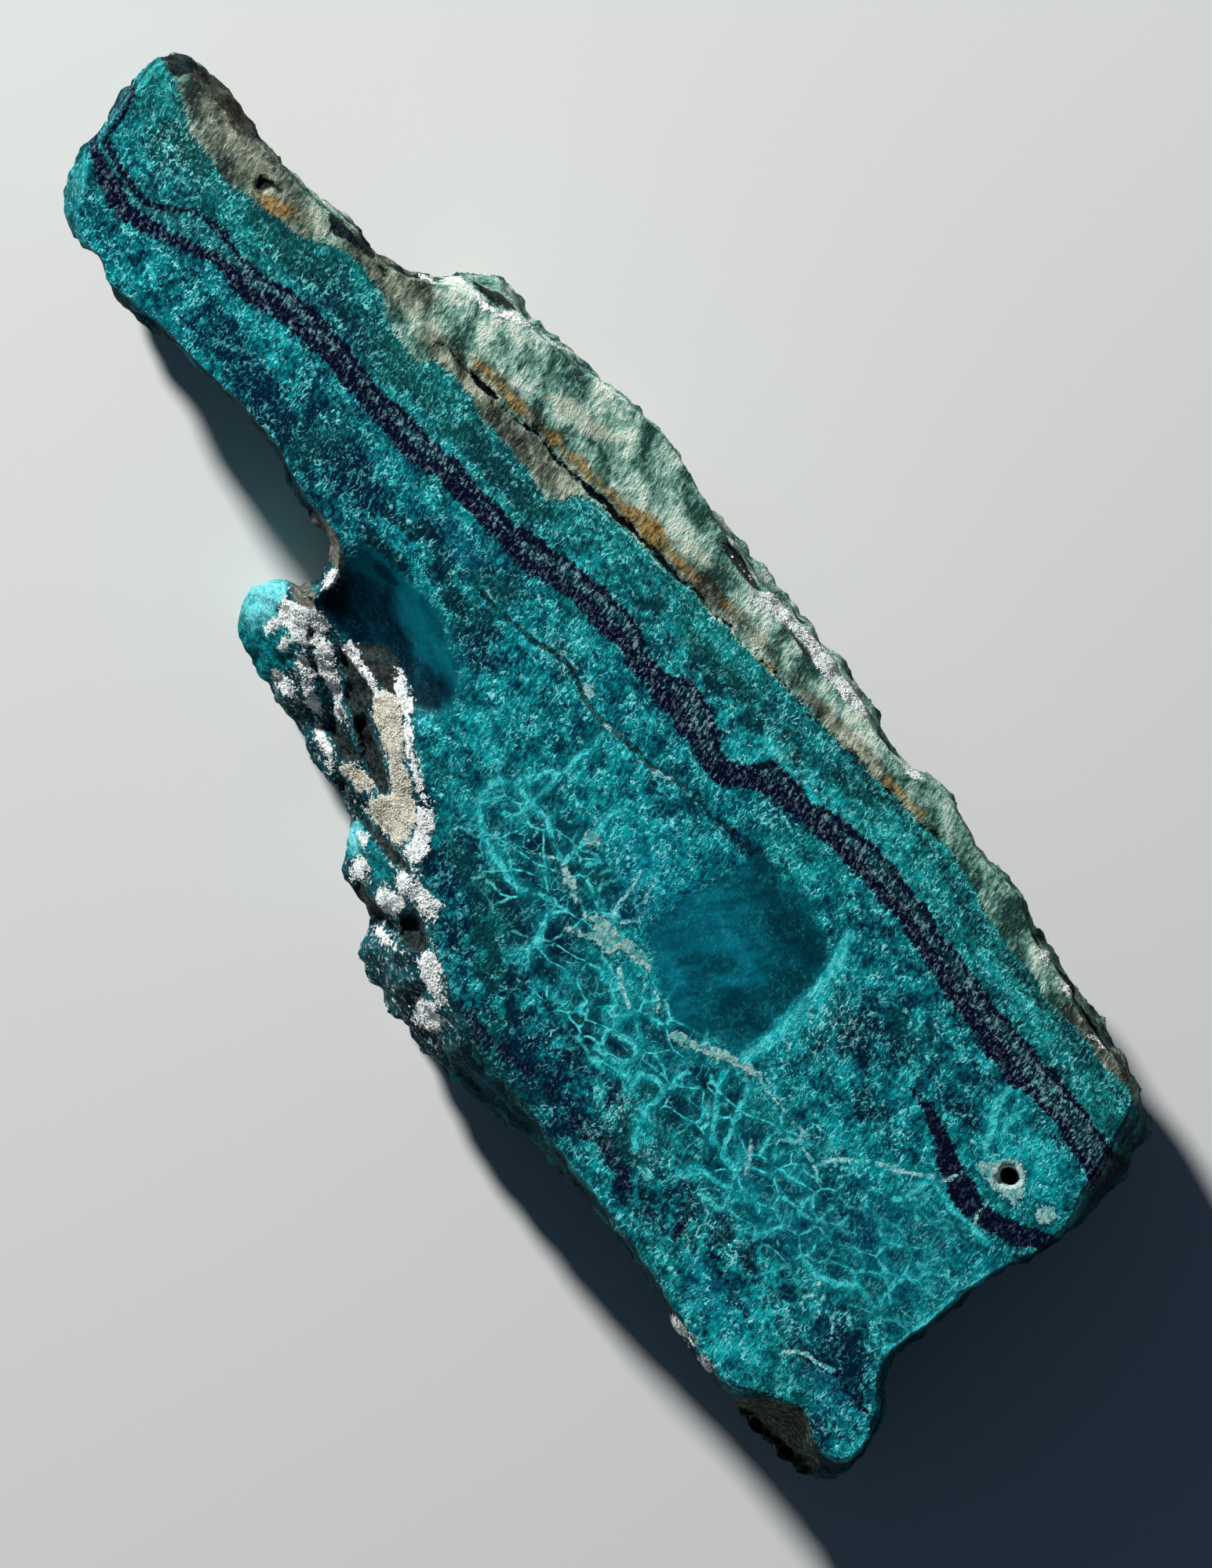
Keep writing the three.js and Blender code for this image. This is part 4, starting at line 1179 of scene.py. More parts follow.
crust_plan = crust_plan + crust_wave * (crust_plan - plan)
ring_slope = smoothstep(*SLOPE_FROM_RUN, slope_plan) * (edge[:, 1] < 0)
on_slope = np.zeros(len(points))
on_slope[:wall_count] = np.tile(ring_slope, WALL_STEPS + 1)
on_slope *= smoothstep(*UPPER_WALL, points[:, 2]) * smoothstep(*SLOPE_ENDS, plan[:, 0])
on_side = np.zeros(len(points))
on_side[ring_count:WALL_STEPS * ring_count] = 1
print("layers move by up to", np.abs(dipped - plan).max().round(1), "mm at the base")

# %% [markdown]
# Distances to lines and depths in patches are all one number each, so every marking is one row
# here. Lines are read at wavy places, which keeps them from looking drawn with a ruler.

# %% Measure the markings
UPPER_HALF_WIDTH, LOBE_LINE_HALF_WIDTH = 0.2, 0.12


def side_of(line):
    """Signed distance to a named line, read where the layers are."""
    return distance_to(wavy, smooth_line(line))


def gap_to(line, widths=None):
    """Distance to a named line, or to the edge of the band that it is the middle of."""
    gap = np.abs(side_of(line))
    return gap if widths is None else gap - width_along(wavy, widths)


marks = {
    "main_band": gap_to(MAIN_BAND, MAIN_WIDTHS),
    "upper_band": gap_to(UPPER_BAND) - UPPER_HALF_WIDTH,
    "between": np.minimum(side_of(MAIN_BAND), -side_of(UPPER_BAND)),
    "third_band": gap_to(THIRD_BAND),
    "lower_band": gap_to(LOWER_BAND, LOWER_WIDTHS),
    "dark_vein": np.minimum(
        gap_to(SECOND_VEIN, SECOND_VEIN_WIDTHS), gap_to(LOBE_LINE) - LOBE_LINE_HALF_WIDTH
    ),
    "matrix": side_of(MATRIX_LINE),
    "crack": crack_gap(dipped),
    "hairline": gap_to(HAIRLINE),
    "white_vein": vein_gap(wavy, WHITE_VEINS),
    "pale_vein": vein_gap(wavy, PALE_VEINS),
    "vein_body": outline_depth(dipped, VEIN_BODIES),
    "oval": outline_depth(dipped, OVAL),
    "oval_depth": patch_depth(dipped, OVAL_DEPTHS),
    "oval_light": patch_depth(dipped, OVAL_LIGHTS),
    "dark_zone": patch_depth(dipped, DARK_ZONES),
    "blue_zone": patch_depth(dipped, BLUE_ZONES),
    "patchy": patch_depth(dipped, PATCHY_ZONES),
    "bright_zone": patch_depth(dipped, BRIGHT_AND_LIT_ZONES),
    "pale_zone": patch_depth(dipped, PALE_ZONES),
    "stain": outline_depth(wavy, STAINS),
    "pale_lens": outline_depth(wavy, PALE_LENSES),
    "brown_edge": outline_depth(wavy, BROWN_EDGE),
    "tan": patch_depth(dipped, TAN_ZONES),
    "dark_spot": outline_depth(crust_plan, DARK_SPOTS),
    "dark_stroke": outline_depth(plan, SHADE_STROKES),
    "pit": outline_depth(crust_plan, [outline for _, outline in PITS]),
    "cream": outline_depth(crust_plan, CREAM_CRUSTS),
    "white": outline_depth(crust_plan, WHITE_CRUSTS),
    "slope_teal": outline_depth(plan, SLOPE_TEAL),
    "lump_light": patch_depth(plan, LUMP_PAINTED_LIGHTS),
    "slope": on_slope,
    "cell_net": patch_depth(dipped, CELL_NET),
    "hollow": outline_depth(plan, HOLLOW_SMOOTH),
    "hollow_dark": outline_depth(plan, HOLLOW_DARK_AND_SHADE),
    "ledge": outline_depth(plan, LEDGE),
    "crest_shade": outline_depth(plan, CREST_SHADE),
    "scoop": outline_depth(plan, SCOOP),
    "hole": np.hypot(plan[:, 0] - HOLE_AT[0], plan[:, 1] - HOLE_AT[1]),
    "along": plan[:, 0],
    "depth": TOP - points[:, 2],
    "side": on_side,
}
print("measured:", len(marks), "markings")

# %% [markdown]
# An attribute holds one number for each vertex, and a shader reads it by its name.

# %% Store them on the vertices


def store(mesh, name, values):
    """Keeps one number for each vertex of a mesh under a name."""
    stored = mesh.attributes.new(name, "FLOAT", "POINT")
    stored.data.foreach_set("value", values.astype(np.float32))


for name, values in marks.items():
    store(stone_mesh, name, values)
print("stored:", ", ".join(marks))

# %% [markdown]
# ## A way to write shader sums
#
# A material is a graph of nodes, and sums are easier to read as sums. This class wraps one output
# socket. Its operators add Math nodes, so `1 - mask` works as it reads. Every other kind of node
# comes from `node`, which sets the node's settings first and then its sockets. A Mix node has a
# set of sockets for each type of data, all with the same names, so those are picked by number.


# %% The wire class
class Wire:
    """One output socket of a node tree."""

    MIX_UNDER, MIX_OVER, MIX_RESULT = 6, 7, 2

    def __init__(self, socket):
        self.socket = socket
        self.tree = socket.id_data

    @staticmethod
    def node(tree, kind, settings=None, sockets=None, out=0):
        """Adds a node and returns the wire from one of its outputs."""
        added = tree.nodes.new(kind)
        for name, value in (settings or {}).items():
            if name == "stops":
                Wire.set_stops(added.color_ramp, value)
            else:
                setattr(added, name, value)
        for name, value in (sockets or {}).items():
            if isinstance(value, Wire):
                tree.links.new(value.socket, added.inputs[name])
            else:
                added.inputs[name].default_value = value
        return Wire(added.outputs[out]) if len(added.outputs) else None

    @staticmethod
    def set_stops(ramp, stops):
        """Gives a colour ramp its stops: pairs of place and colour."""
        while len(ramp.elements) < len(stops):
            ramp.elements.new(1.0)
        for element, (place, colour) in zip(ramp.elements, stops):
            element.position = place
            element.color = colour

    def maths(self, operation, first, second=0.0):
        """A Math node on two wires or numbers."""
        settings = {"operation": operation}
        return Wire.node(self.tree, "ShaderNodeMath", settings, {0: first, 1: second})

    def __add__(self, other):
        return self.maths("ADD", self, other)

    def __sub__(self, other):
        return self.maths("SUBTRACT", self, other)

    def __rsub__(self, other):
        return self.maths("SUBTRACT", other, self)

    def __mul__(self, other):
        return self.maths("MULTIPLY", self, other)

    def __abs__(self):
        return self.maths("ABSOLUTE", self)

    __radd__ = __add__
    __rmul__ = __mul__

    def larger(self, other):
        """The larger of the two, which joins two masks."""
        return self.maths("MAXIMUM", self, other)

    def rise(self, start, end):
        """0 at start, 1 at end, with a smooth rise; start may be the larger of the two."""
        if start > end:
            return 1 - self.rise(end, start)
        settings = {"interpolation_type": "SMOOTHSTEP"}
        sockets = {"Value": self, "From Min": start, "From Max": end}
        return Wire.node(self.tree, "ShaderNodeMapRange", settings, sockets)

    def blend(self, under, over):
        """The colour under where this wire is 0 and the colour over where it is 1."""
        settings = {"data_type": "RGBA", "clamp_factor": True}
        sockets = {"Factor": self, Wire.MIX_UNDER: under, Wire.MIX_OVER: over}
        return Wire.node(self.tree, "ShaderNodeMix", settings, sockets, out=Wire.MIX_RESULT)


def to_linear(share):
    """One part of a screen colour, 0 to 1, as light: the standard sRGB curve."""
    return share / 12.92 if share <= 0.04045 else ((share + 0.055) / 1.055) ** 2.4


def tint(code):
    """A linear colour from a six-figure screen colour, such as 0c7480."""
    return (*(to_linear(int(code[i:i + 2], 16) / 255) for i in (0, 2, 4)), 1.0)


print("teal is", [round(part, 2) for part in tint("0c7480")])

# %% [markdown]
# ## The stone's finish
#
# One material covers the stone, because its colours run into each other. It is built in layers:
# the teal ground with its fine fibrous streaks, then the net of pale veins, the clear oval, the
# navy bands, the pale matrix with its iron stains, and last the quartz crusts. Each layer is a
# colour and a mask, and each mask is a stored distance made ragged by noise. In `a.blend(b, c)`
# the mask `a` lets the layer `c` show over `b`, and a number times the mask says how strongly.

# %% Start the stone's material
OBJECT_PLACE = 3
ATTRIBUTE_NUMBER = 2
NOISE_COLOUR = 1


def empty_material(name):
    """A new material with nothing in its node tree."""
    material = bpy.data.materials.new(name)
    material.use_nodes = True
    material.node_tree.nodes.clear()
    return material


def report(layer):
    """Prints how many nodes the tree has with this layer in it."""
    print("nodes with", layer + ":", len(tree.nodes))


stone_look = empty_material("chrysocolla")
tree = stone_look.node_tree
place = Wire.node(tree, "ShaderNodeTexCoord", out=OBJECT_PLACE)
in_mm = Wire.node(tree, "ShaderNodeVectorMath", {"operation": "SCALE"}, {0: place, "Scale": 1 / MM})
report("only the place")

# %% [markdown]
# These short functions are the words that the finish is written in. Each adds its nodes to the
# tree that `tree` names at the time. `mark` reads a stored number and `cloud` makes a noise.
# `swirled` bends a place, so that what is drawn on it bends too.

# %% Places and noises


def mark(name):
    """The number stored on the mesh under this name."""
    return Wire.node(tree, "ShaderNodeAttribute", {"attribute_name": name}, out=ATTRIBUTE_NUMBER)


def moved(vector, scale=(1, 1, 1), turn=0.0, offset=(0, 0, 0)):
    """A copy of a place, turned about Z by degrees, then scaled and offset."""
    turned = Wire.node(tree, "ShaderNodeVectorRotate", {"rotation_type": "Z_AXIS"},
                       {"Vector": vector, "Angle": math.radians(-turn)})
    return Wire.node(tree, "ShaderNodeMapping", {"vector_type": "POINT"},
                     {"Vector": turned, "Scale": scale, "Location": offset})


def cloud(vector, size, detail=3.0, roughness=0.55, offset=0.0):
    """Cloudy noise from 0 to 1 whose lumps are about size mm wide; offset picks another part."""
    place_here = moved(vector, offset=(offset, -offset, 2 * offset)) if offset else vector
    sockets = {"Vector": place_here, "Scale": 1 / size, "Detail": detail, "Roughness": roughness}
    return Wire.node(tree, "ShaderNodeTexNoise", None, sockets)


def swirled(vector, size, amount):
    """The place pushed about by noise: lumps of size mm, and up to about half of amount away."""
    sockets = {"Vector": vector, "Scale": 1 / size, "Detail": 2.0}
    push_by = Wire.node(tree, "ShaderNodeTexNoise", None, sockets, out=NOISE_COLOUR)
    centred = Wire.node(tree, "ShaderNodeVectorMath", {"operation": "SUBTRACT"},
                        {0: push_by, 1: (0.5, 0.5, 0.5)})
    scaled = Wire.node(tree, "ShaderNodeVectorMath", {"operation": "SCALE"},
                       {0: centred, "Scale": amount})
    return Wire.node(tree, "ShaderNodeVectorMath", {"operation": "ADD"}, {0: vector, 1: scaled})


def cell_edges(vector, scale):
    """Distance to the nearest wall of a Voronoi pattern's cells."""
    return Wire.node(tree, "ShaderNodeTexVoronoi", {"feature": "DISTANCE_TO_EDGE"},
                     {"Vector": vector, "Scale": scale})


report("no noise yet")

# %% [markdown]
# The same noises are used all through the finish, from lumps of several millimetres down to specks
# that are smaller than one. A noise swings about 0.5, so a `swing` has 0.5 taken off: it is a push
# that goes both ways and changes nothing on average.

# %% The shared noises
MIDDLE = 0.5
FIBRE_TURN = 112
bent = swirled(in_mm, 1.5, 0.7)
drift = cloud(in_mm, 7.5, detail=2.0, offset=4.4)
clumps = cloud(in_mm, 1.7, detail=3.0, offset=1.9)
flakes = cloud(swirled(in_mm, 1.4, 0.8), 1.2, detail=4.0, roughness=0.6, offset=7.1)
dashes = cloud(moved(bent, (1.2, 4.2, 2.5), FIBRE_TURN), 1.0, detail=2.0, roughness=0.6)
fine = cloud(swirled(in_mm, 0.8, 0.4), 0.5, detail=3.0, roughness=0.65, offset=6.1)
crumbs = cloud(in_mm, 0.45, detail=3.0, roughness=0.7, offset=6.6)
side_patches = cloud(swirled(in_mm, 3.5, 2.5), 3.8, detail=5.0, roughness=0.6, offset=8.8)
ragged = cloud(in_mm, 2.4, detail=4.0, roughness=0.6, offset=3.3) - MIDDLE
speck = cloud(swirled(in_mm, 0.6, 0.35), 0.3, detail=2.0, roughness=0.7, offset=4.9) - MIDDLE
drift_swing = drift - MIDDLE
clump_swing = clumps - MIDDLE
flake_swing = flakes - MIDDLE
dash_swing = dashes - MIDDLE
fine_swing = fine - MIDDLE
report("the shared noises")

# %% [markdown]
# Three more words finish the set. `worn` turns a stored number into a mask with a ragged edge: the
# large noise makes its bays and the small one its crumbs. `mottle` mixes two colours by a noise,
# and `ramp` runs through several.

# %% Masks and colours


def worn(name, start, end, large=0.0, small=0.0):
    """A mask from a stored number: 0 at start and 1 at end, pushed about by two noises."""
    value = mark(name)
    if large:
        value = value + ragged * large
    if small:
        value = value + speck * small
    return value.rise(start, end)


def mottle(source, start, end, dark, light):
    """The dark colour where source is at start, the light one where it is at end."""
    return source.rise(start, end).blend(tint(dark), tint(light))


def ramp(source, *stops):
    """A colour that runs through stops, each a place on the source and a colour code."""
    settings = {"stops": [(place, tint(code)) for place, code in stops]}
    return Wire.node(tree, "ShaderNodeValToRGB", settings, {"Fac": source})


print("navy is", [round(part, 3) for part in tint("000826")])

# %% [markdown]
# ### Fibres
#
# Ground chrysocolla is a felt of short curved fibres, a tenth of a millimetre wide. Where a noise
# crosses its middle value it leaves a thin winding line; squeezing the noise in one direction
# stretches those lines, and a second noise breaks them into dashes. Two sets at a slant to each
# other, with stretched specks between them, give the felt. A third set is kept for the brightest
# threads.

# %% Draw the fibres
FIBRE_CROSSING = 40
SOFT_EDGE = 0.25
GAP_SIZE = 0.36


def winding(turn, scale, offset, width):
    """Thin winding lines along a direction, broken into dashes."""
    wave = cloud(moved(bent, scale, turn), 1.0, detail=1.0, offset=offset)
    gaps = cloud(in_mm, GAP_SIZE, detail=1.0, offset=offset + 3.7)
    return abs(wave - MIDDLE).rise(width, width * SOFT_EDGE) * gaps.rise(0.5, 0.58)


first_set = winding(FIBRE_TURN, (0.9, 2.6, 1.5), offset=1.3, width=0.06)
second_set = winding(FIBRE_TURN + FIBRE_CROSSING, (1.0, 2.4, 1.5), offset=5.3, width=0.055)
bright_set = winding(FIBRE_TURN - FIBRE_CROSSING / 2, (0.9, 2.2, 1.5), offset=9.1, width=0.055)
between_fibres = (dashes + speck * 0.3).rise(0.6, 0.72)
pale_zone = worn("pale_zone", -0.4, 0.6, large=1.4)
crowd = (clumps * 0.6 + drift * 0.4).rise(0.36, 0.6) + pale_zone * 0.5
fibres = first_set.larger(second_set * 0.75).larger(between_fibres * 0.6)
fibres = fibres * (crowd * 0.75 + 0.25).larger(pale_zone)
report("the fibres")

# %% [markdown]
# ### The teal ground
#
# Under the fibres the teal goes from nearly black through deep teal to bright cyan. The fine
# noises give it grain, and the stored bright and dark zones push it one way or the other.

# %% How light the ground is at each place
TONE_LEVEL = 0.49
# The bright zones are lighter stone, except at the arm's tip, where they are painted light.
bright = worn("bright_zone", -0.4, 0.8, large=1.3)
gloom = worn("dark_zone", -0.3, 0.6, large=1.5, small=0.6)
in_net = worn("cell_net", -0.3, 0.5, large=1.6)
patchy = worn("patchy", -0.3, 0.5, large=1.0)
dim_arm = mark("along").rise(-14, -34)
grain = fine_swing * 0.95 + dash_swing * 0.6 + speck * 0.4
tone = grain * (1 - in_net * 0.45) + clump_swing * 0.85 + drift_swing * 0.6 + TONE_LEVEL
tone = tone + bright * 0.14 + pale_zone * 0.02 - gloom * 0.3 - dim_arm * 0.07
tone = tone + flake_swing * (patchy * 1.5 + 0.5)
fibres = fibres * (1 - patchy * flakes.rise(0.52, 0.42) * 0.8)
report("the tone")

# %% [markdown]
# Near the pale rock the teal turns greener, and in a few zones it turns bluer. Both are laid over
# the ground with the same grain, so the change of colour has no edge.

# %% Colour the teal ground
teal = ramp(
    tone, (0.22, "002036"), (0.37, "00495a"), (0.5, "006d77"), (0.64, "048f97"), (0.82, "12c0c6"),
)
mossy = fine + speck * 0.5
greener = mark("matrix").rise(-6, -0.6) * (drift.rise(0.3, 0.6) * 0.6 + 0.4)
greener = greener.larger(cloud(in_mm, 6.0, detail=1.0, offset=2.7).rise(0.54, 0.66) * 0.5)
teal = (greener * 0.5).blend(teal, mottle(mossy, 0.3, 0.7, "044a44", "188474"))
bluer = worn("blue_zone", -0.4, 0.6, large=1.2)
teal = (bluer * 0.42).blend(teal, mottle(mossy, 0.3, 0.7, "004a66", "0a8cab"))
near_matrix = mark("matrix").rise(-9, -3)
fibre_colour = mottle(clumps, 0.35, 0.62, "08b4c0", "58e8ee")
fibre_colour = (near_matrix * 0.55).blend(fibre_colour, tint("72dad0"))
fibre_colour = (pale_zone * 0.75).blend(fibre_colour, tint("aef0ea"))
report("the teal")

# %% [markdown]
# ### The net of pale veins
#
# In the broad half, healed cracks divide the teal into cells. The distance to the nearest cell
# wall of a Voronoi pattern is such a net, once the place it is read at is bent.

# %% Draw the net
net_place = swirled(swirled(in_mm, 2.6, 1.0), 0.7, 0.14)
net = cell_edges(moved(net_place, (1.0, 0.66, 1.0), 100), 0.55)
small_net = cell_edges(swirled(in_mm, 1.2, 0.5), 1.1)
walls = net.rise(0.055, 0.015) * cloud(in_mm, 1.1, offset=7.7).rise(0.4, 0.54)
small_walls = small_net.rise(0.05, 0.02) * cloud(in_mm, 0.9, offset=9.2).rise(0.5, 0.6)
net_end = mark("along").rise(30, 38)
net_lines = walls.larger(small_walls * 0.6) * in_net * (1 - net_end * 0.35)
cell_gloom = cloud(in_mm, 2.6, detail=1.0, offset=8.1).rise(0.48, 0.56) * 0.75 + 0.25
cell_gloom = cell_gloom * net.rise(0.05, 0.16) * in_net
ground = (cell_gloom * 0.8).blend(teal, tint("013344"))
report("the net")

# %% [markdown]
# ### The clear oval and the smooth hollow
#
# Where the stone is clear it looks darker and smoother, with hardly any fibres in it. The hollow
# is smooth in the same way, and its floor is painted nearly black: partly its deep colour and
# partly painted shade, since the higher arm keeps the light out of it.

# %% Darken the clear oval
oval = worn("oval", -0.3, 0.5, large=1.6, small=0.9)
oval_depth = worn("oval_depth", -0.3, 0.6, large=0.9)
oval_light = worn("oval_light", -0.3, 0.8, large=0.9)
oval_place = moved(swirled(in_mm, 2.0, 1.2), (0.4, 1.3, 1.0), 66)
oval_clouds = cloud(oval_place, 1.2, detail=5.0, offset=5.9) + speck * 0.25
oval_colour = mottle(oval_clouds, 0.34, 0.66, "003f4f", "056a7c")
light_colour = mottle(oval_clouds, 0.3, 0.7, "046078", "0a88a0")
oval_colour = (oval_light * 0.65).blend(oval_colour, light_colour)
oval_colour = (oval_depth * 0.85).blend(oval_colour, tint("002b39"))
ground = (oval * 0.9).blend(ground, oval_colour)
report("the oval")

# %% [markdown]
# The hollow's folds run along it, so its noise is stretched along its length. Short dark strokes
# of painted shade lie round its brow, where the face turns down away from the light.

# %% Darken the hollow
hollow = worn("hollow", -0.7, 0.6, large=2.0, small=0.9)
# Along the floor the colour turns nearly black: partly the stone's deep colour, partly painted
# shade.
hollow_dark = worn("hollow_dark", -0.6, 0.5, large=1.8)
hollow_place = moved(swirled(in_mm, 4, 2.0), (0.2, 0.9, 0.5), -8)
hollow_folds = cloud(hollow_place, 1.0, detail=2.0, offset=3.9) + speck * 0.16
hollow_colour = mottle(hollow_folds, 0.3, 0.7, "00404f", "03606f")
hollow_floor_shade_colour = mottle(hollow_folds, 0.4, 0.72, "000c1f", "022a3c")
hollow_colour = hollow_dark.blend(hollow_colour, hollow_floor_shade_colour)
ground = (hollow * 0.96).blend(ground, hollow_colour)
# The strokes are painted shade along the brow.
strokes = worn("dark_stroke", -0.15, 0.25, large=1.2, small=0.9)
ground = (strokes * 0.85).blend(ground, tint("011b2c"))
report("the hollow")

# %% [markdown]
# The fibres go over the ground now. They fade in the oval, the hollow, the net and the dark zones,
# where the stone is too clear or too dark for them to show.

# %% Lay the fibres over the ground
quiet = (1 - oval * 0.86) * (1 - hollow * 0.97)
fibres = fibres * quiet * (1 - in_net * 0.7)
ground = (fibres * (1 - strokes * 0.6) * (1 - gloom * 0.45)).blend(ground, fibre_colour)
bright_set = bright_set * quiet * (1 - oval) * (1 - in_net * 0.75) * (1 - gloom * 0.5)
bright_clumps = (clumps + bright * 0.06).rise(0.43, 0.54)
bright_set = bright_set * bright_clumps * (1 - mark("along").rise(-58, -61) * 0.7)
ground = (bright_set * 0.9).blend(ground, tint("8af4f6"))
report("the fibres laid")

# %% [markdown]
# ### Veins
#
# The net and the named veins lie over the fibres. Their edges break up in the finest noise.

# %% Draw the veins
net_colour = mottle(fine, 0.36, 0.58, "08b4c0", "60f0f2")
ground = (net_lines * quiet).blend(ground, net_colour)
pale_gap = mark("pale_vein") + fine_swing * 0.7 + flake_swing * 0.7 + speck * 0.35
pale_glow = (pale_gap + ragged * 0.8).rise(0.55, 0.0)
pale_line = pale_gap.rise(0.1, 0.0) * (clumps.rise(0.36, 0.5) * 0.5 + 0.4)
ground = (pale_glow * 0.3).blend(ground, tint("18a0a8"))
ground = pale_line.blend(ground, net_colour)
body = (mark("vein_body") + ragged * 0.7 + fine_swing * 1.1 + speck * 0.5).rise(-0.08, 0.06)
ground = body.blend(ground, mottle(fine, 0.4, 0.6, "46a8a8", "a9d2ce"))
report("the veins")

# %% [markdown]
# ### The navy bands
#
# Two dark lines wander side by side down the slab, with grey fibres between them. Their edges
# dissolve into specks, which is what a distance pushed about by fine noise gives.

# %% Where the bands run
frayed = ragged * 0.7 + speck * 1.2 + dash_swing * 0.9
main_line = (mark("main_band") + frayed).rise(0.14, -0.14)
upper_line = (mark("upper_band") + frayed * 0.7).rise(0.2, -0.1)
third_line = (mark("third_band") + frayed * 1.5).rise(0.45, -0.1) * 0.8
dark_vein = (mark("dark_vein") + frayed * 0.8).rise(0.1, -0.12)
lower_gap = mark("lower_band") + frayed * 1.2 + (flakes - 0.44) * 3.6
lower_line = lower_gap.rise(0.25, -0.25) * 0.92
band = main_line.larger(upper_line).larger(third_line).larger(dark_vein).larger(lower_line)
between = (mark("between") + frayed * 0.8).rise(-0.25, 0.2)
between = between * (1 - mark("along").rise(-47, -51) * 0.75)
report("the bands' places")

# %% [markdown]
# Each band is navy with blue-grey specks, and a lacework of grey fibres fills the strip between the
# two. Towards the end of the arm the ground of that strip turns teal.

# %% Colour the bands
grey_fibres = fibres.larger(dashes.rise(0.5, 0.64) * (clumps.rise(0.3, 0.6) * 0.6 + 0.4))
grey_threads = first_set.larger((dashes + speck * 0.5).rise(0.52, 0.66))
between_ground = mottle(fine, 0.45, 0.75, "000d20", "083040")
between_ground = (mark("along").rise(-38, -50) * 0.7).blend(between_ground, tint("0c4a5a"))
between_colour = (grey_threads * 0.75).blend(between_ground, tint("93b8c2"))
band_specks = grey_fibres * speck.rise(-0.1, 0.1) * 0.7
band_specks = band_specks * (1 - upper_line * 0.7) * (1 - dark_vein * 0.65)
band_colour = band_specks.blend(tint("000826"), tint("84a6b6"))
ground = (between * 0.86).blend(ground, between_colour)
ground = band.blend(ground, band_colour)
report("the bands")

# %% [markdown]
# The white veins cut across the bands, so they come after them.

# %% Draw the white veins
white_gap = mark("white_vein") + fine_swing * 0.5 + speck * 0.4
white_gap = white_gap + (flakes - 0.52).larger(0.0) * 1.2
ground = white_gap.rise(0.08, -0.02).blend(ground, mottle(fine, 0.42, 0.56, "4cbcc0", "c2f0f0"))
report("the white veins")

# %% [markdown]
# ### The pale matrix
#
# Beyond the crack lies the rock that the copper ore grew in: green-grey, streaked with white, and
# stained tan and rust along the crack where iron got in.

# %% Draw the matrix
matrix_edge = mark("matrix") + ragged * 0.9 + speck * 0.9 + dash_swing * 0.9
in_matrix = matrix_edge.rise(-0.15, 0.15)
streak_place = moved(swirled(in_mm, 3.4, 2.6), (0.3, 0.55, 0.5), 132)
streaky = cloud(streak_place, 1.0, detail=5.0, roughness=0.5, offset=2.2)
grit = streaky * 1.5 - 0.235 + fine_swing * 0.5 + dash_swing * 0.6
grit = grit - mark("along").rise(12, 24) * 0.1
matrix_colour = ramp(
    grit, (0.27, "23463f"), (0.38, "4b7a6e"), (0.49, "7aaa9b"), (0.58, "a4ccbb"), (0.72, "e2f0e0"),
)
pale_lens = worn("pale_lens", -0.2, 0.4, large=1.2, small=0.5)
matrix_colour = (pale_lens * 0.6).blend(matrix_colour, tint("c8cfb9"))
report("the matrix")

# %% [markdown]
# Iron water crept in along the crack: it left tan rock beside it, ochre stains on it and a brown
# crust at the edge of the arm. Each stain goes over the one before.

# %% Stain the matrix
in_tan = worn("tan", -0.3, 0.35, large=1.1, small=0.5)
tan_colour = ramp(
    grit - mark("along").rise(-42, -52) * 0.11,
    (0.3, "2b2c27"), (0.45, "50564a"), (0.58, "747b69"), (0.76, "b6bea6"),
)
matrix_colour = (in_tan * 0.92).blend(matrix_colour, tan_colour)
in_stain = worn("stain", -0.2, 0.35, large=1.2, small=0.9) * (fine.rise(0.3, 0.6) * 0.4 + 0.55)
stain_colour = mottle(fine + dash_swing * 0.5, 0.36, 0.62, "5a4d28", "b3904e")
matrix_colour = in_stain.blend(matrix_colour, stain_colour)
brown_edge = worn("brown_edge", -0.2, 0.25, large=1.1, small=0.7)
brown_colour = mottle(fine + speck * 0.4, 0.35, 0.65, "100f12", "4a4037")
matrix_colour = (brown_edge * 0.88).blend(matrix_colour, brown_colour)
matrix_colour = (first_set * 0.25 * (1 - brown_edge)).blend(matrix_colour, tint("ccd8c8"))
surface = in_matrix.blend(ground, matrix_colour)
report("the stains")

# %% [markdown]
# The open crack is nearly black because no light reaches its floor. The hairline is a second and
# much thinner one, and the dark spots are small chips.

# %% Draw the crack, the hairline and the dark spots
crack = worn("crack", 0.1, -0.04, large=0.3, small=0.5)
surface = crack.blend(surface, tint("060c14"))
hair_gap = (mark("hairline") + speck * 0.35 + fine_swing * 0.3).rise(0.3, 0.16)
surface = (hair_gap * (clumps.rise(0.42, 0.52) * 0.75 + 0.1)).blend(surface, tint("01141f"))
spots = worn("dark_spot", -0.12, 0.14, large=0.9, small=0.6)
surface = (spots * 0.95).blend(surface, mottle(crumbs, 0.5, 0.7, "020a14", "1c2e36"))
report("the cracks")

# %% [markdown]
# ### The broken sides
#
# A broken face is duller and darker than a ground one, and its colour comes in larger patches:
# teal, brown-black ore and pale rock. On top of that the sides are painted darker as shade, since
# they turn away from the light, and less so at the arm's tip, which faces it: painted light there.

# %% Colour the sides
side_mask = mark("side") * mark("depth").rise(0.3, 2.2)
lit_tip = mark("along").rise(-56, -61)
side_colour_and_shade = ramp(
    side_patches,
    (0.34, "020a12"), (0.46, "031c26"), (0.56, "053c46"), (0.66, "107080"), (0.76, "5f8f84"),
)
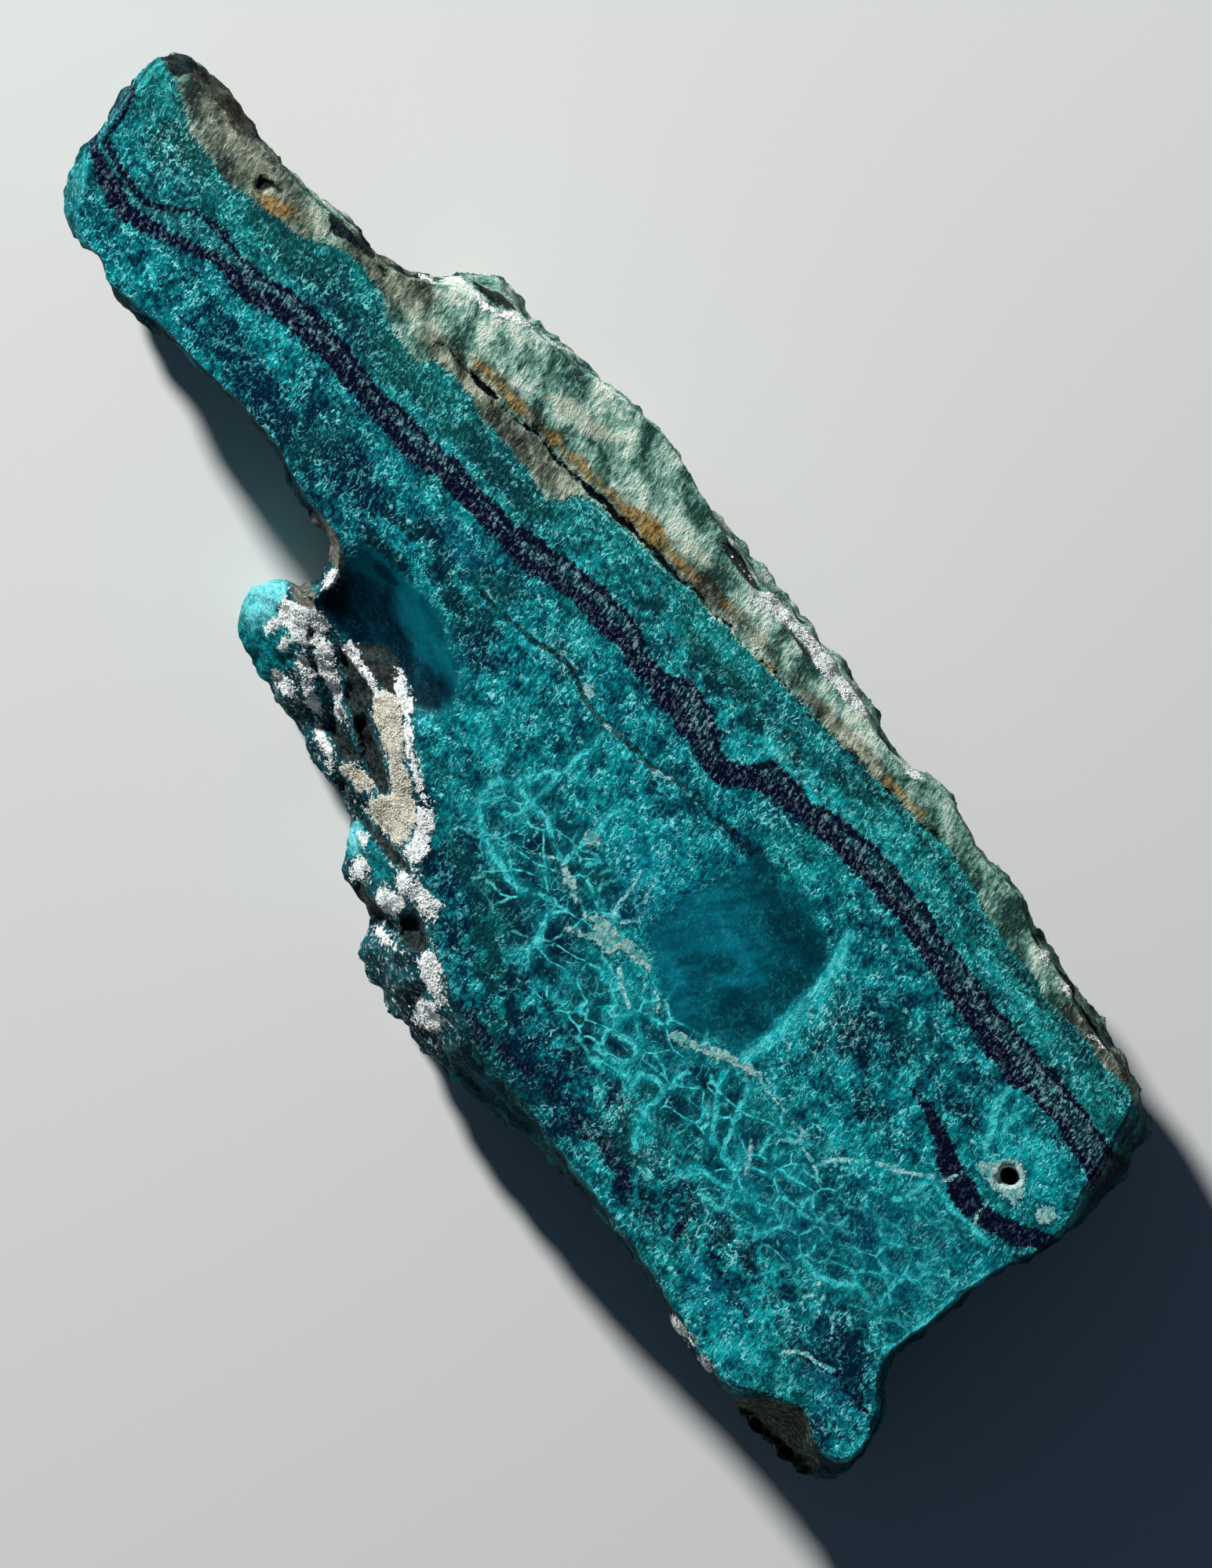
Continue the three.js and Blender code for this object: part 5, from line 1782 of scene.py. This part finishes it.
# The dark side colour is partly painted shade, and it gives way at the lit tip: painted light.
side_shade_share = side_mask * (0.82 - lit_tip * 0.55) * (1 - in_matrix * 0.75)
surface = side_shade_share.blend(surface, side_colour_and_shade)
report("the sides")

# %% [markdown]
# ### Crusts on the slope
#
# The slope carries cream and white quartz, bright turquoise lumps and dark pits between them. Its
# own broken colour goes on first, and then the turquoise, the crusts and the pits over it.

# %% Colour the slope
# The crest's inner side, turned from the light, is painted dark grey-brown as shade.
crest_painted_shade = worn("crest_shade", -0.25, 0.1, large=0.6)
surface = (crest_painted_shade * 0.92).blend(surface, mottle(crumbs, 0.35, 0.65, "12191c", "3c3f39"))
slope = mark("slope") * (1 - crest_painted_shade)
slope_colour = ramp(
    side_patches * 0.4 + crumbs * 0.3 + clumps * 0.3,
    (0.36, "04151f"), (0.46, "0c3540"), (0.55, "166069"), (0.66, "8fb0b0"),
)
surface = (slope * 0.9).blend(surface, slope_colour)
flecks = slope * (crumbs + speck * 0.4).rise(0.57, 0.64)
surface = (flecks * 0.8).blend(surface, tint("dfe9e6"))
# The turquoise is painted lighter on the lumps' sides that face the light: painted light.
turquoise_colour = worn("lump_light", -0.3, 0.7, large=0.5).blend(
    mottle(crumbs, 0.34, 0.66, "003f49", "0f98a0"), mottle(crumbs, 0.3, 0.6, "14b4bf", "86e2e8"),
)
turquoise = worn("slope_teal", -0.12, 0.25, large=1.2, small=0.9)
surface = turquoise.blend(surface, turquoise_colour)
report("the slope")

# %% [markdown]
# White crusts are clean quartz and cream ones are stained. Both end in crumbs, so their edge takes
# several noises at once. The pits go on last, because they cut through both. Their near-black is
# partly their own dark colour and partly painted shade in the recess.

# %% Colour the crusts and the pits
crust_fray = ragged * 1.5 + speck * 1.2 + fine_swing * 1.4 + flake_swing * 1.2
white = (mark("white") + crust_fray).rise(-0.02, 0.1)
surface = white.blend(surface, mottle(crumbs, 0.28, 0.46, "9dbab9", "f6faf9"))
cream = (mark("cream") + crust_fray * 0.6).rise(-0.08, 0.08)
surface = cream.blend(surface, mottle(crumbs + speck * 0.4, 0.34, 0.56, "8c8b7e", "e9e8dd"))
# The pits' dark colour is partly their own and partly painted shade in the recess.
pit = worn("pit", -0.04, 0.22, large=0.7, small=0.5)
surface = (pit * 0.95).blend(surface, mottle(crumbs, 0.35, 0.65, "0a1621", "3b413b"))
crusted = white.larger(cream)
report("the crusts")

# %% [markdown]
# Three small places are left: the grey ledge in the notch, the olive scoop under the corner, and
# the hole, whose lip is quartz and whose inside is painted near-black as shade.

# %% Colour the ledge, the scoop and the small hole
ledge = worn("ledge", -0.1, 0.2, large=0.4)
surface = (ledge * 0.9).blend(surface, mottle(crumbs, 0.35, 0.65, "4b4c48", "8f8b80"))
scoop = worn("scoop", -0.1, 0.2, large=0.8, small=0.4)
scoop_grain = fine + (first_set - MIDDLE) * 0.2
surface = (scoop * 0.94).blend(surface, mottle(scoop_grain, 0.34, 0.66, "0c2622", "7a8062"))
lip = (mark("hole") + ragged * 3.0 + fine_swing * 2.0 + speck * 0.8).rise(1.2, 1.0)
surface = (lip * 0.9).blend(surface, mottle(crumbs, 0.3, 0.62, "6fb0ae", "d8ece6"))
# The inside of the hole is painted near-black as shade.
hole = worn("hole", 0.72, 0.6, large=1.2, small=0.5)
surface = hole.blend(surface, tint("03090f"))
report("every colour")

# %% [markdown]
# ### Gloss and fine relief
#
# A ground, unpolished face is half matt. The clear oval and the hollow are smoother. The fibres
# stand a few hundredths of a millimetre proud, and a Bump node turns them into shading.

# %% Finish the stone's material
roughness = fine * 0.16 + 0.52 - oval * 0.12 - hollow * 0.16 + side_mask * 0.2
roughness = roughness + crusted * 0.12 + in_matrix * 0.1
height = fibres * 0.05 + (dashes * 0.07 + fine * 0.09) * quiet + grit * in_matrix * 0.1
height = height + crumbs * (crusted.larger(slope) * 0.22 + side_mask * 0.16)
height = height + side_patches * side_mask * 0.3 + net_lines * 0.04 - band * 0.03 + body * 0.05
relief_sockets = {"Height": height, "Distance": MM, "Strength": 1.0}
relief = Wire.node(tree, "ShaderNodeBump", None, relief_sockets)
LITTLE_SHINE = 0.05


def finish(material, sockets):
    """Gives a material one Principled shader with these sockets."""
    shader = Wire.node(material.node_tree, "ShaderNodeBsdfPrincipled", None, sockets)
    Wire.node(material.node_tree, "ShaderNodeOutputMaterial", None, {"Surface": shader})


finish(stone_look, {
    "Base Color": surface, "Roughness": roughness, "Normal": relief,
    "Specular IOR Level": LITTLE_SHINE,
})
stone_mesh.materials.append(stone_look)
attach(stone, "root")
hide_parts("chrysocolla_slab")
print("stone nodes:", len(tree.nodes))

# %% [markdown]
# ## The quartz crystals
#
# Sugary quartz is a crust of tiny six-sided points. Each one here is a short prism with a point,
# tipped at random, and all are joined in one mesh. They are placed on the crusts, more of them
# where the crust is thick.

# %% Choose where crystals stand
CRYSTAL_COUNT = 9000
CRUST_RAGGED, CRUST_RAGGED_SIZE, CRUST_THIN = 0.6, 1.1, 0.12
CRUST_SHARE_EDGE, PIT_SHARE_EDGE = (0.0, 0.15), (0.0, 0.2)
SHARE_IN_PITS, SHARE_ON_WHITE = 0.04, 0.45
HIGH_ENOUGH = (0.3 * TOP, 0.5 * TOP)
crystal_rng = np.random.default_rng(7)
side_tris = np.vstack([side_faces[:, [0, 1, 2]], side_faces[:, [0, 2, 3]]])
corners = points[side_tris]
centres = corners.mean(1)
area_vectors = np.cross(corners[:, 1] - corners[:, 0], corners[:, 2] - corners[:, 0]) / 2
areas = np.linalg.norm(area_vectors, axis=1)
centre_plan = crust_places(centres)
crust = outline_depth(centre_plan, WHITE_CRUSTS + CREAM_CRUSTS) - CRUST_THIN
crust = crust + CRUST_RAGGED * fractal(centres, CRUST_RAGGED_SIZE, 4, part=15.0)
pits_here = outline_depth(centre_plan, [outline for _, outline in PITS])
cream_here = outline_depth(centre_plan, CREAM_CRUSTS) > 0
weights = (
    areas
    * smoothstep(*CRUST_SHARE_EDGE, crust)
    * (1 - (1 - SHARE_IN_PITS) * smoothstep(*PIT_SHARE_EDGE, pits_here))
    * smoothstep(*HIGH_ENOUGH, centres[:, 2])
    * np.where(cream_here, 1.0, SHARE_ON_WHITE)
)
chosen = crystal_rng.choice(len(centres), CRYSTAL_COUNT, p=weights / weights.sum())
print("crust area:", round(float(weights.sum()), 1), "square mm")

# %% [markdown]
# One crystal is drawn once: a six-sided prism from -1 to 0.9 with a point at 2. Every other one is
# a copy of it, scaled and set on three axes of its own.

# %% One crystal
SIDES = 6
FOOT, SHOULDER, POINT = -1.0, 0.9, 2.0
hexagon = [(math.cos(k * math.tau / SIDES), math.sin(k * math.tau / SIDES)) for k in range(SIDES)]
template = np.array([
    *[(x, y, FOOT) for x, y in hexagon], *[(x, y, SHOULDER) for x, y in hexagon], (0, 0, POINT),
])
point_index = 2 * SIDES
template_faces = [[k, (k + 1) % SIDES, SIDES + (k + 1) % SIDES, SIDES + k] for k in range(SIDES)]
template_faces += [[SIDES + k, SIDES + (k + 1) % SIDES, point_index] for k in range(SIDES)]
print("one crystal:", len(template), "points,", len(template_faces), "faces")

# %% [markdown]
# A crystal grows out from the rock, so its axis is the face's own direction with some tilt. Its
# foot is sunk in a little, which hides the gap under a tilted one.

# %% Set every crystal on the rock
TILT = 0.42
CRYSTAL_RADII = (0.04, 0.095)
CRYSTAL_STRETCH = (0.6, 1.1)
CRYSTAL_SUNK = 0.45


def unit(vectors):
    """The same directions with length 1."""
    return vectors / np.linalg.norm(vectors, axis=1)[:, None]


normals = area_vectors[chosen] / areas[chosen][:, None]
axis_z = unit(normals + crystal_rng.normal(0, TILT, (CRYSTAL_COUNT, 3)))
axis_x = unit(np.cross(axis_z, crystal_rng.normal(0, 1, (CRYSTAL_COUNT, 3))))
axis_y = np.cross(axis_z, axis_x)
radius = crystal_rng.uniform(*CRYSTAL_RADII, CRYSTAL_COUNT)
length = radius * crystal_rng.uniform(*CRYSTAL_STRETCH, CRYSTAL_COUNT)
mixes = crystal_rng.dirichlet((1, 1, 1), CRYSTAL_COUNT)
seats = (corners[chosen] * mixes[:, :, None]).sum(1) - normals * (CRYSTAL_SUNK * radius)[:, None]
scales = np.stack([radius, radius, length], 1)[:, None] * template
axes = np.stack([axis_x, axis_y, axis_z], 1)
crystal_points = (seats[:, None] + scales @ axes).reshape(-1, 3)
starts = np.arange(CRYSTAL_COUNT) * len(template)
crystal_faces = [[start + k for k in face] for start in starts.tolist() for face in template_faces]
druse = add_mesh("quartz_druse", crystal_points, crystal_faces)
print("crystals:", CRYSTAL_COUNT, "with", len(crystal_faces), "faces")

# %% [markdown]
# Each crystal is as cream as the crust it stands on, and how light it is is random.

# %% Store each crystal's colour numbers
CREAM_EDGE = (-0.2, 0.2)
creaminess = smoothstep(*CREAM_EDGE, outline_depth(seats[:, :2], CREAM_CRUSTS))
lightness = crystal_rng.uniform(0, 1, CRYSTAL_COUNT)
store(druse.data, "creaminess", np.repeat(creaminess, len(template)))
store(druse.data, "lightness", np.repeat(lightness, len(template)))
print("cream crystals:", int((creaminess > 0.5).sum()))

# %% [markdown]
# Quartz this fine looks white because light scatters inside it. A bright base with a little gloss
# does that at this size. Each crystal has its own lightness, so the crust isn't one flat white.

# %% Finish the crystals
QUARTZ_IOR = 1.54
quartz_look = empty_material("quartz")
tree = quartz_look.node_tree
light_share = mark("lightness")
white_quartz = light_share.blend(tint("c6d4d2"), tint("f4f8f6"))
cream_quartz = light_share.blend(tint("a9a995"), tint("dedccb"))
quartz_colour = mark("creaminess").blend(white_quartz, cream_quartz)
finish(quartz_look, {
    "Base Color": quartz_colour, "Roughness": 0.22 + light_share * 0.25, "IOR": QUARTZ_IOR,
})
druse.data.materials.append(quartz_look)
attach(druse, "root")
print("quartz nodes:", len(tree.nodes))

# %% [markdown]
# ## Floor, light and camera
#
# The stone lies on a plain pale floor. A key light low on the left rakes across the ground face,
# so that the rim and the hollow read, and a faint blue sky fills the shadows. The camera looks
# straight down with a long lens.

# %% Floor
FLOOR_SIZE = 3.0
FLOOR_ROUGHNESS = 0.9
FLOOR_SHINE = 0.2
bpy.ops.mesh.primitive_plane_add(size=FLOOR_SIZE, location=(0, 0, low.z))
floor = bpy.context.object
floor.name = "floor"
floor_look = empty_material("floor")
finish(floor_look, {
    "Base Color": tint("e9ebea"), "Roughness": FLOOR_ROUGHNESS, "Specular IOR Level": FLOOR_SHINE,
})
floor.data.materials.append(floor_look)
print("the floor is", FLOOR_SIZE, "m wide")

# %% [markdown]
# The key is a small disc, which keeps the shadow's edge crisp close to the stone and softer further
# out. It is aimed at the middle of the stone, and its height was set by how long the shadow is.

# %% Lights
KEY_DISTANCE = 0.9
KEY_ELEVATION = math.radians(32)
KEY_ALONG, KEY_ACROSS = 0.995, -0.09
KEY_SIZE = 0.07
KEY_POWER = 11.3
KEY_COLOUR = (1.0, 0.985, 0.96)
SKY_COLOUR = (0.4, 0.62, 1.0, 1.0)
SKY_STRENGTH = 0.05
level_share = math.cos(KEY_ELEVATION)
shines_along = Vector((KEY_ALONG * level_share, KEY_ACROSS * level_share, -math.sin(KEY_ELEVATION)))
key = bpy.data.lights.new("key_light", "AREA")
key.shape = "DISK"
key.size = KEY_SIZE
key.energy = KEY_POWER
key.color = KEY_COLOUR
lamp = add_object("key_light", key)
lamp.location = Vector((0, 0, low.z)) - shines_along.normalized() * KEY_DISTANCE
lamp.rotation_euler = shines_along.to_track_quat("-Z", "Y").to_euler()
world = bpy.data.worlds.new("studio")
world.use_nodes = True
sky = world.node_tree.nodes["Background"]
sky.inputs["Color"].default_value = SKY_COLOUR
sky.inputs["Strength"].default_value = SKY_STRENGTH
bpy.context.scene.world = world
bpy.context.scene.view_settings.view_transform = "Standard"
print("key light:", KEY_POWER, "W at", round(math.degrees(KEY_ELEVATION)), "degrees")

# %% [markdown]
# A long lens far away shows the outline nearly without perspective, as a view straight down on a
# flat stone should. The camera is turned about its own axis so that the slab lies aslant.

# %% Camera
SEEN_WIDTH = 90.9 * MM
CAMERA_DISTANCE = 1.6
CAMERA_TURN = math.radians(52.56)
AIM_IN_DRAWING = (-0.33, -1.79)
SENSOR = 36.0
aim = (np.array(AIM_IN_DRAWING) + shift) * MM
lens = bpy.data.cameras.new("camera")
lens.sensor_fit = "HORIZONTAL"
lens.sensor_width = SENSOR
lens.lens = SENSOR * CAMERA_DISTANCE / SEEN_WIDTH
camera = add_object("camera", lens)
camera.location = (*aim, high.z + CAMERA_DISTANCE)
camera.rotation_euler = (0, 0, CAMERA_TURN)
bpy.context.scene.camera = camera
print("lens:", round(lens.lens, 1), "mm")
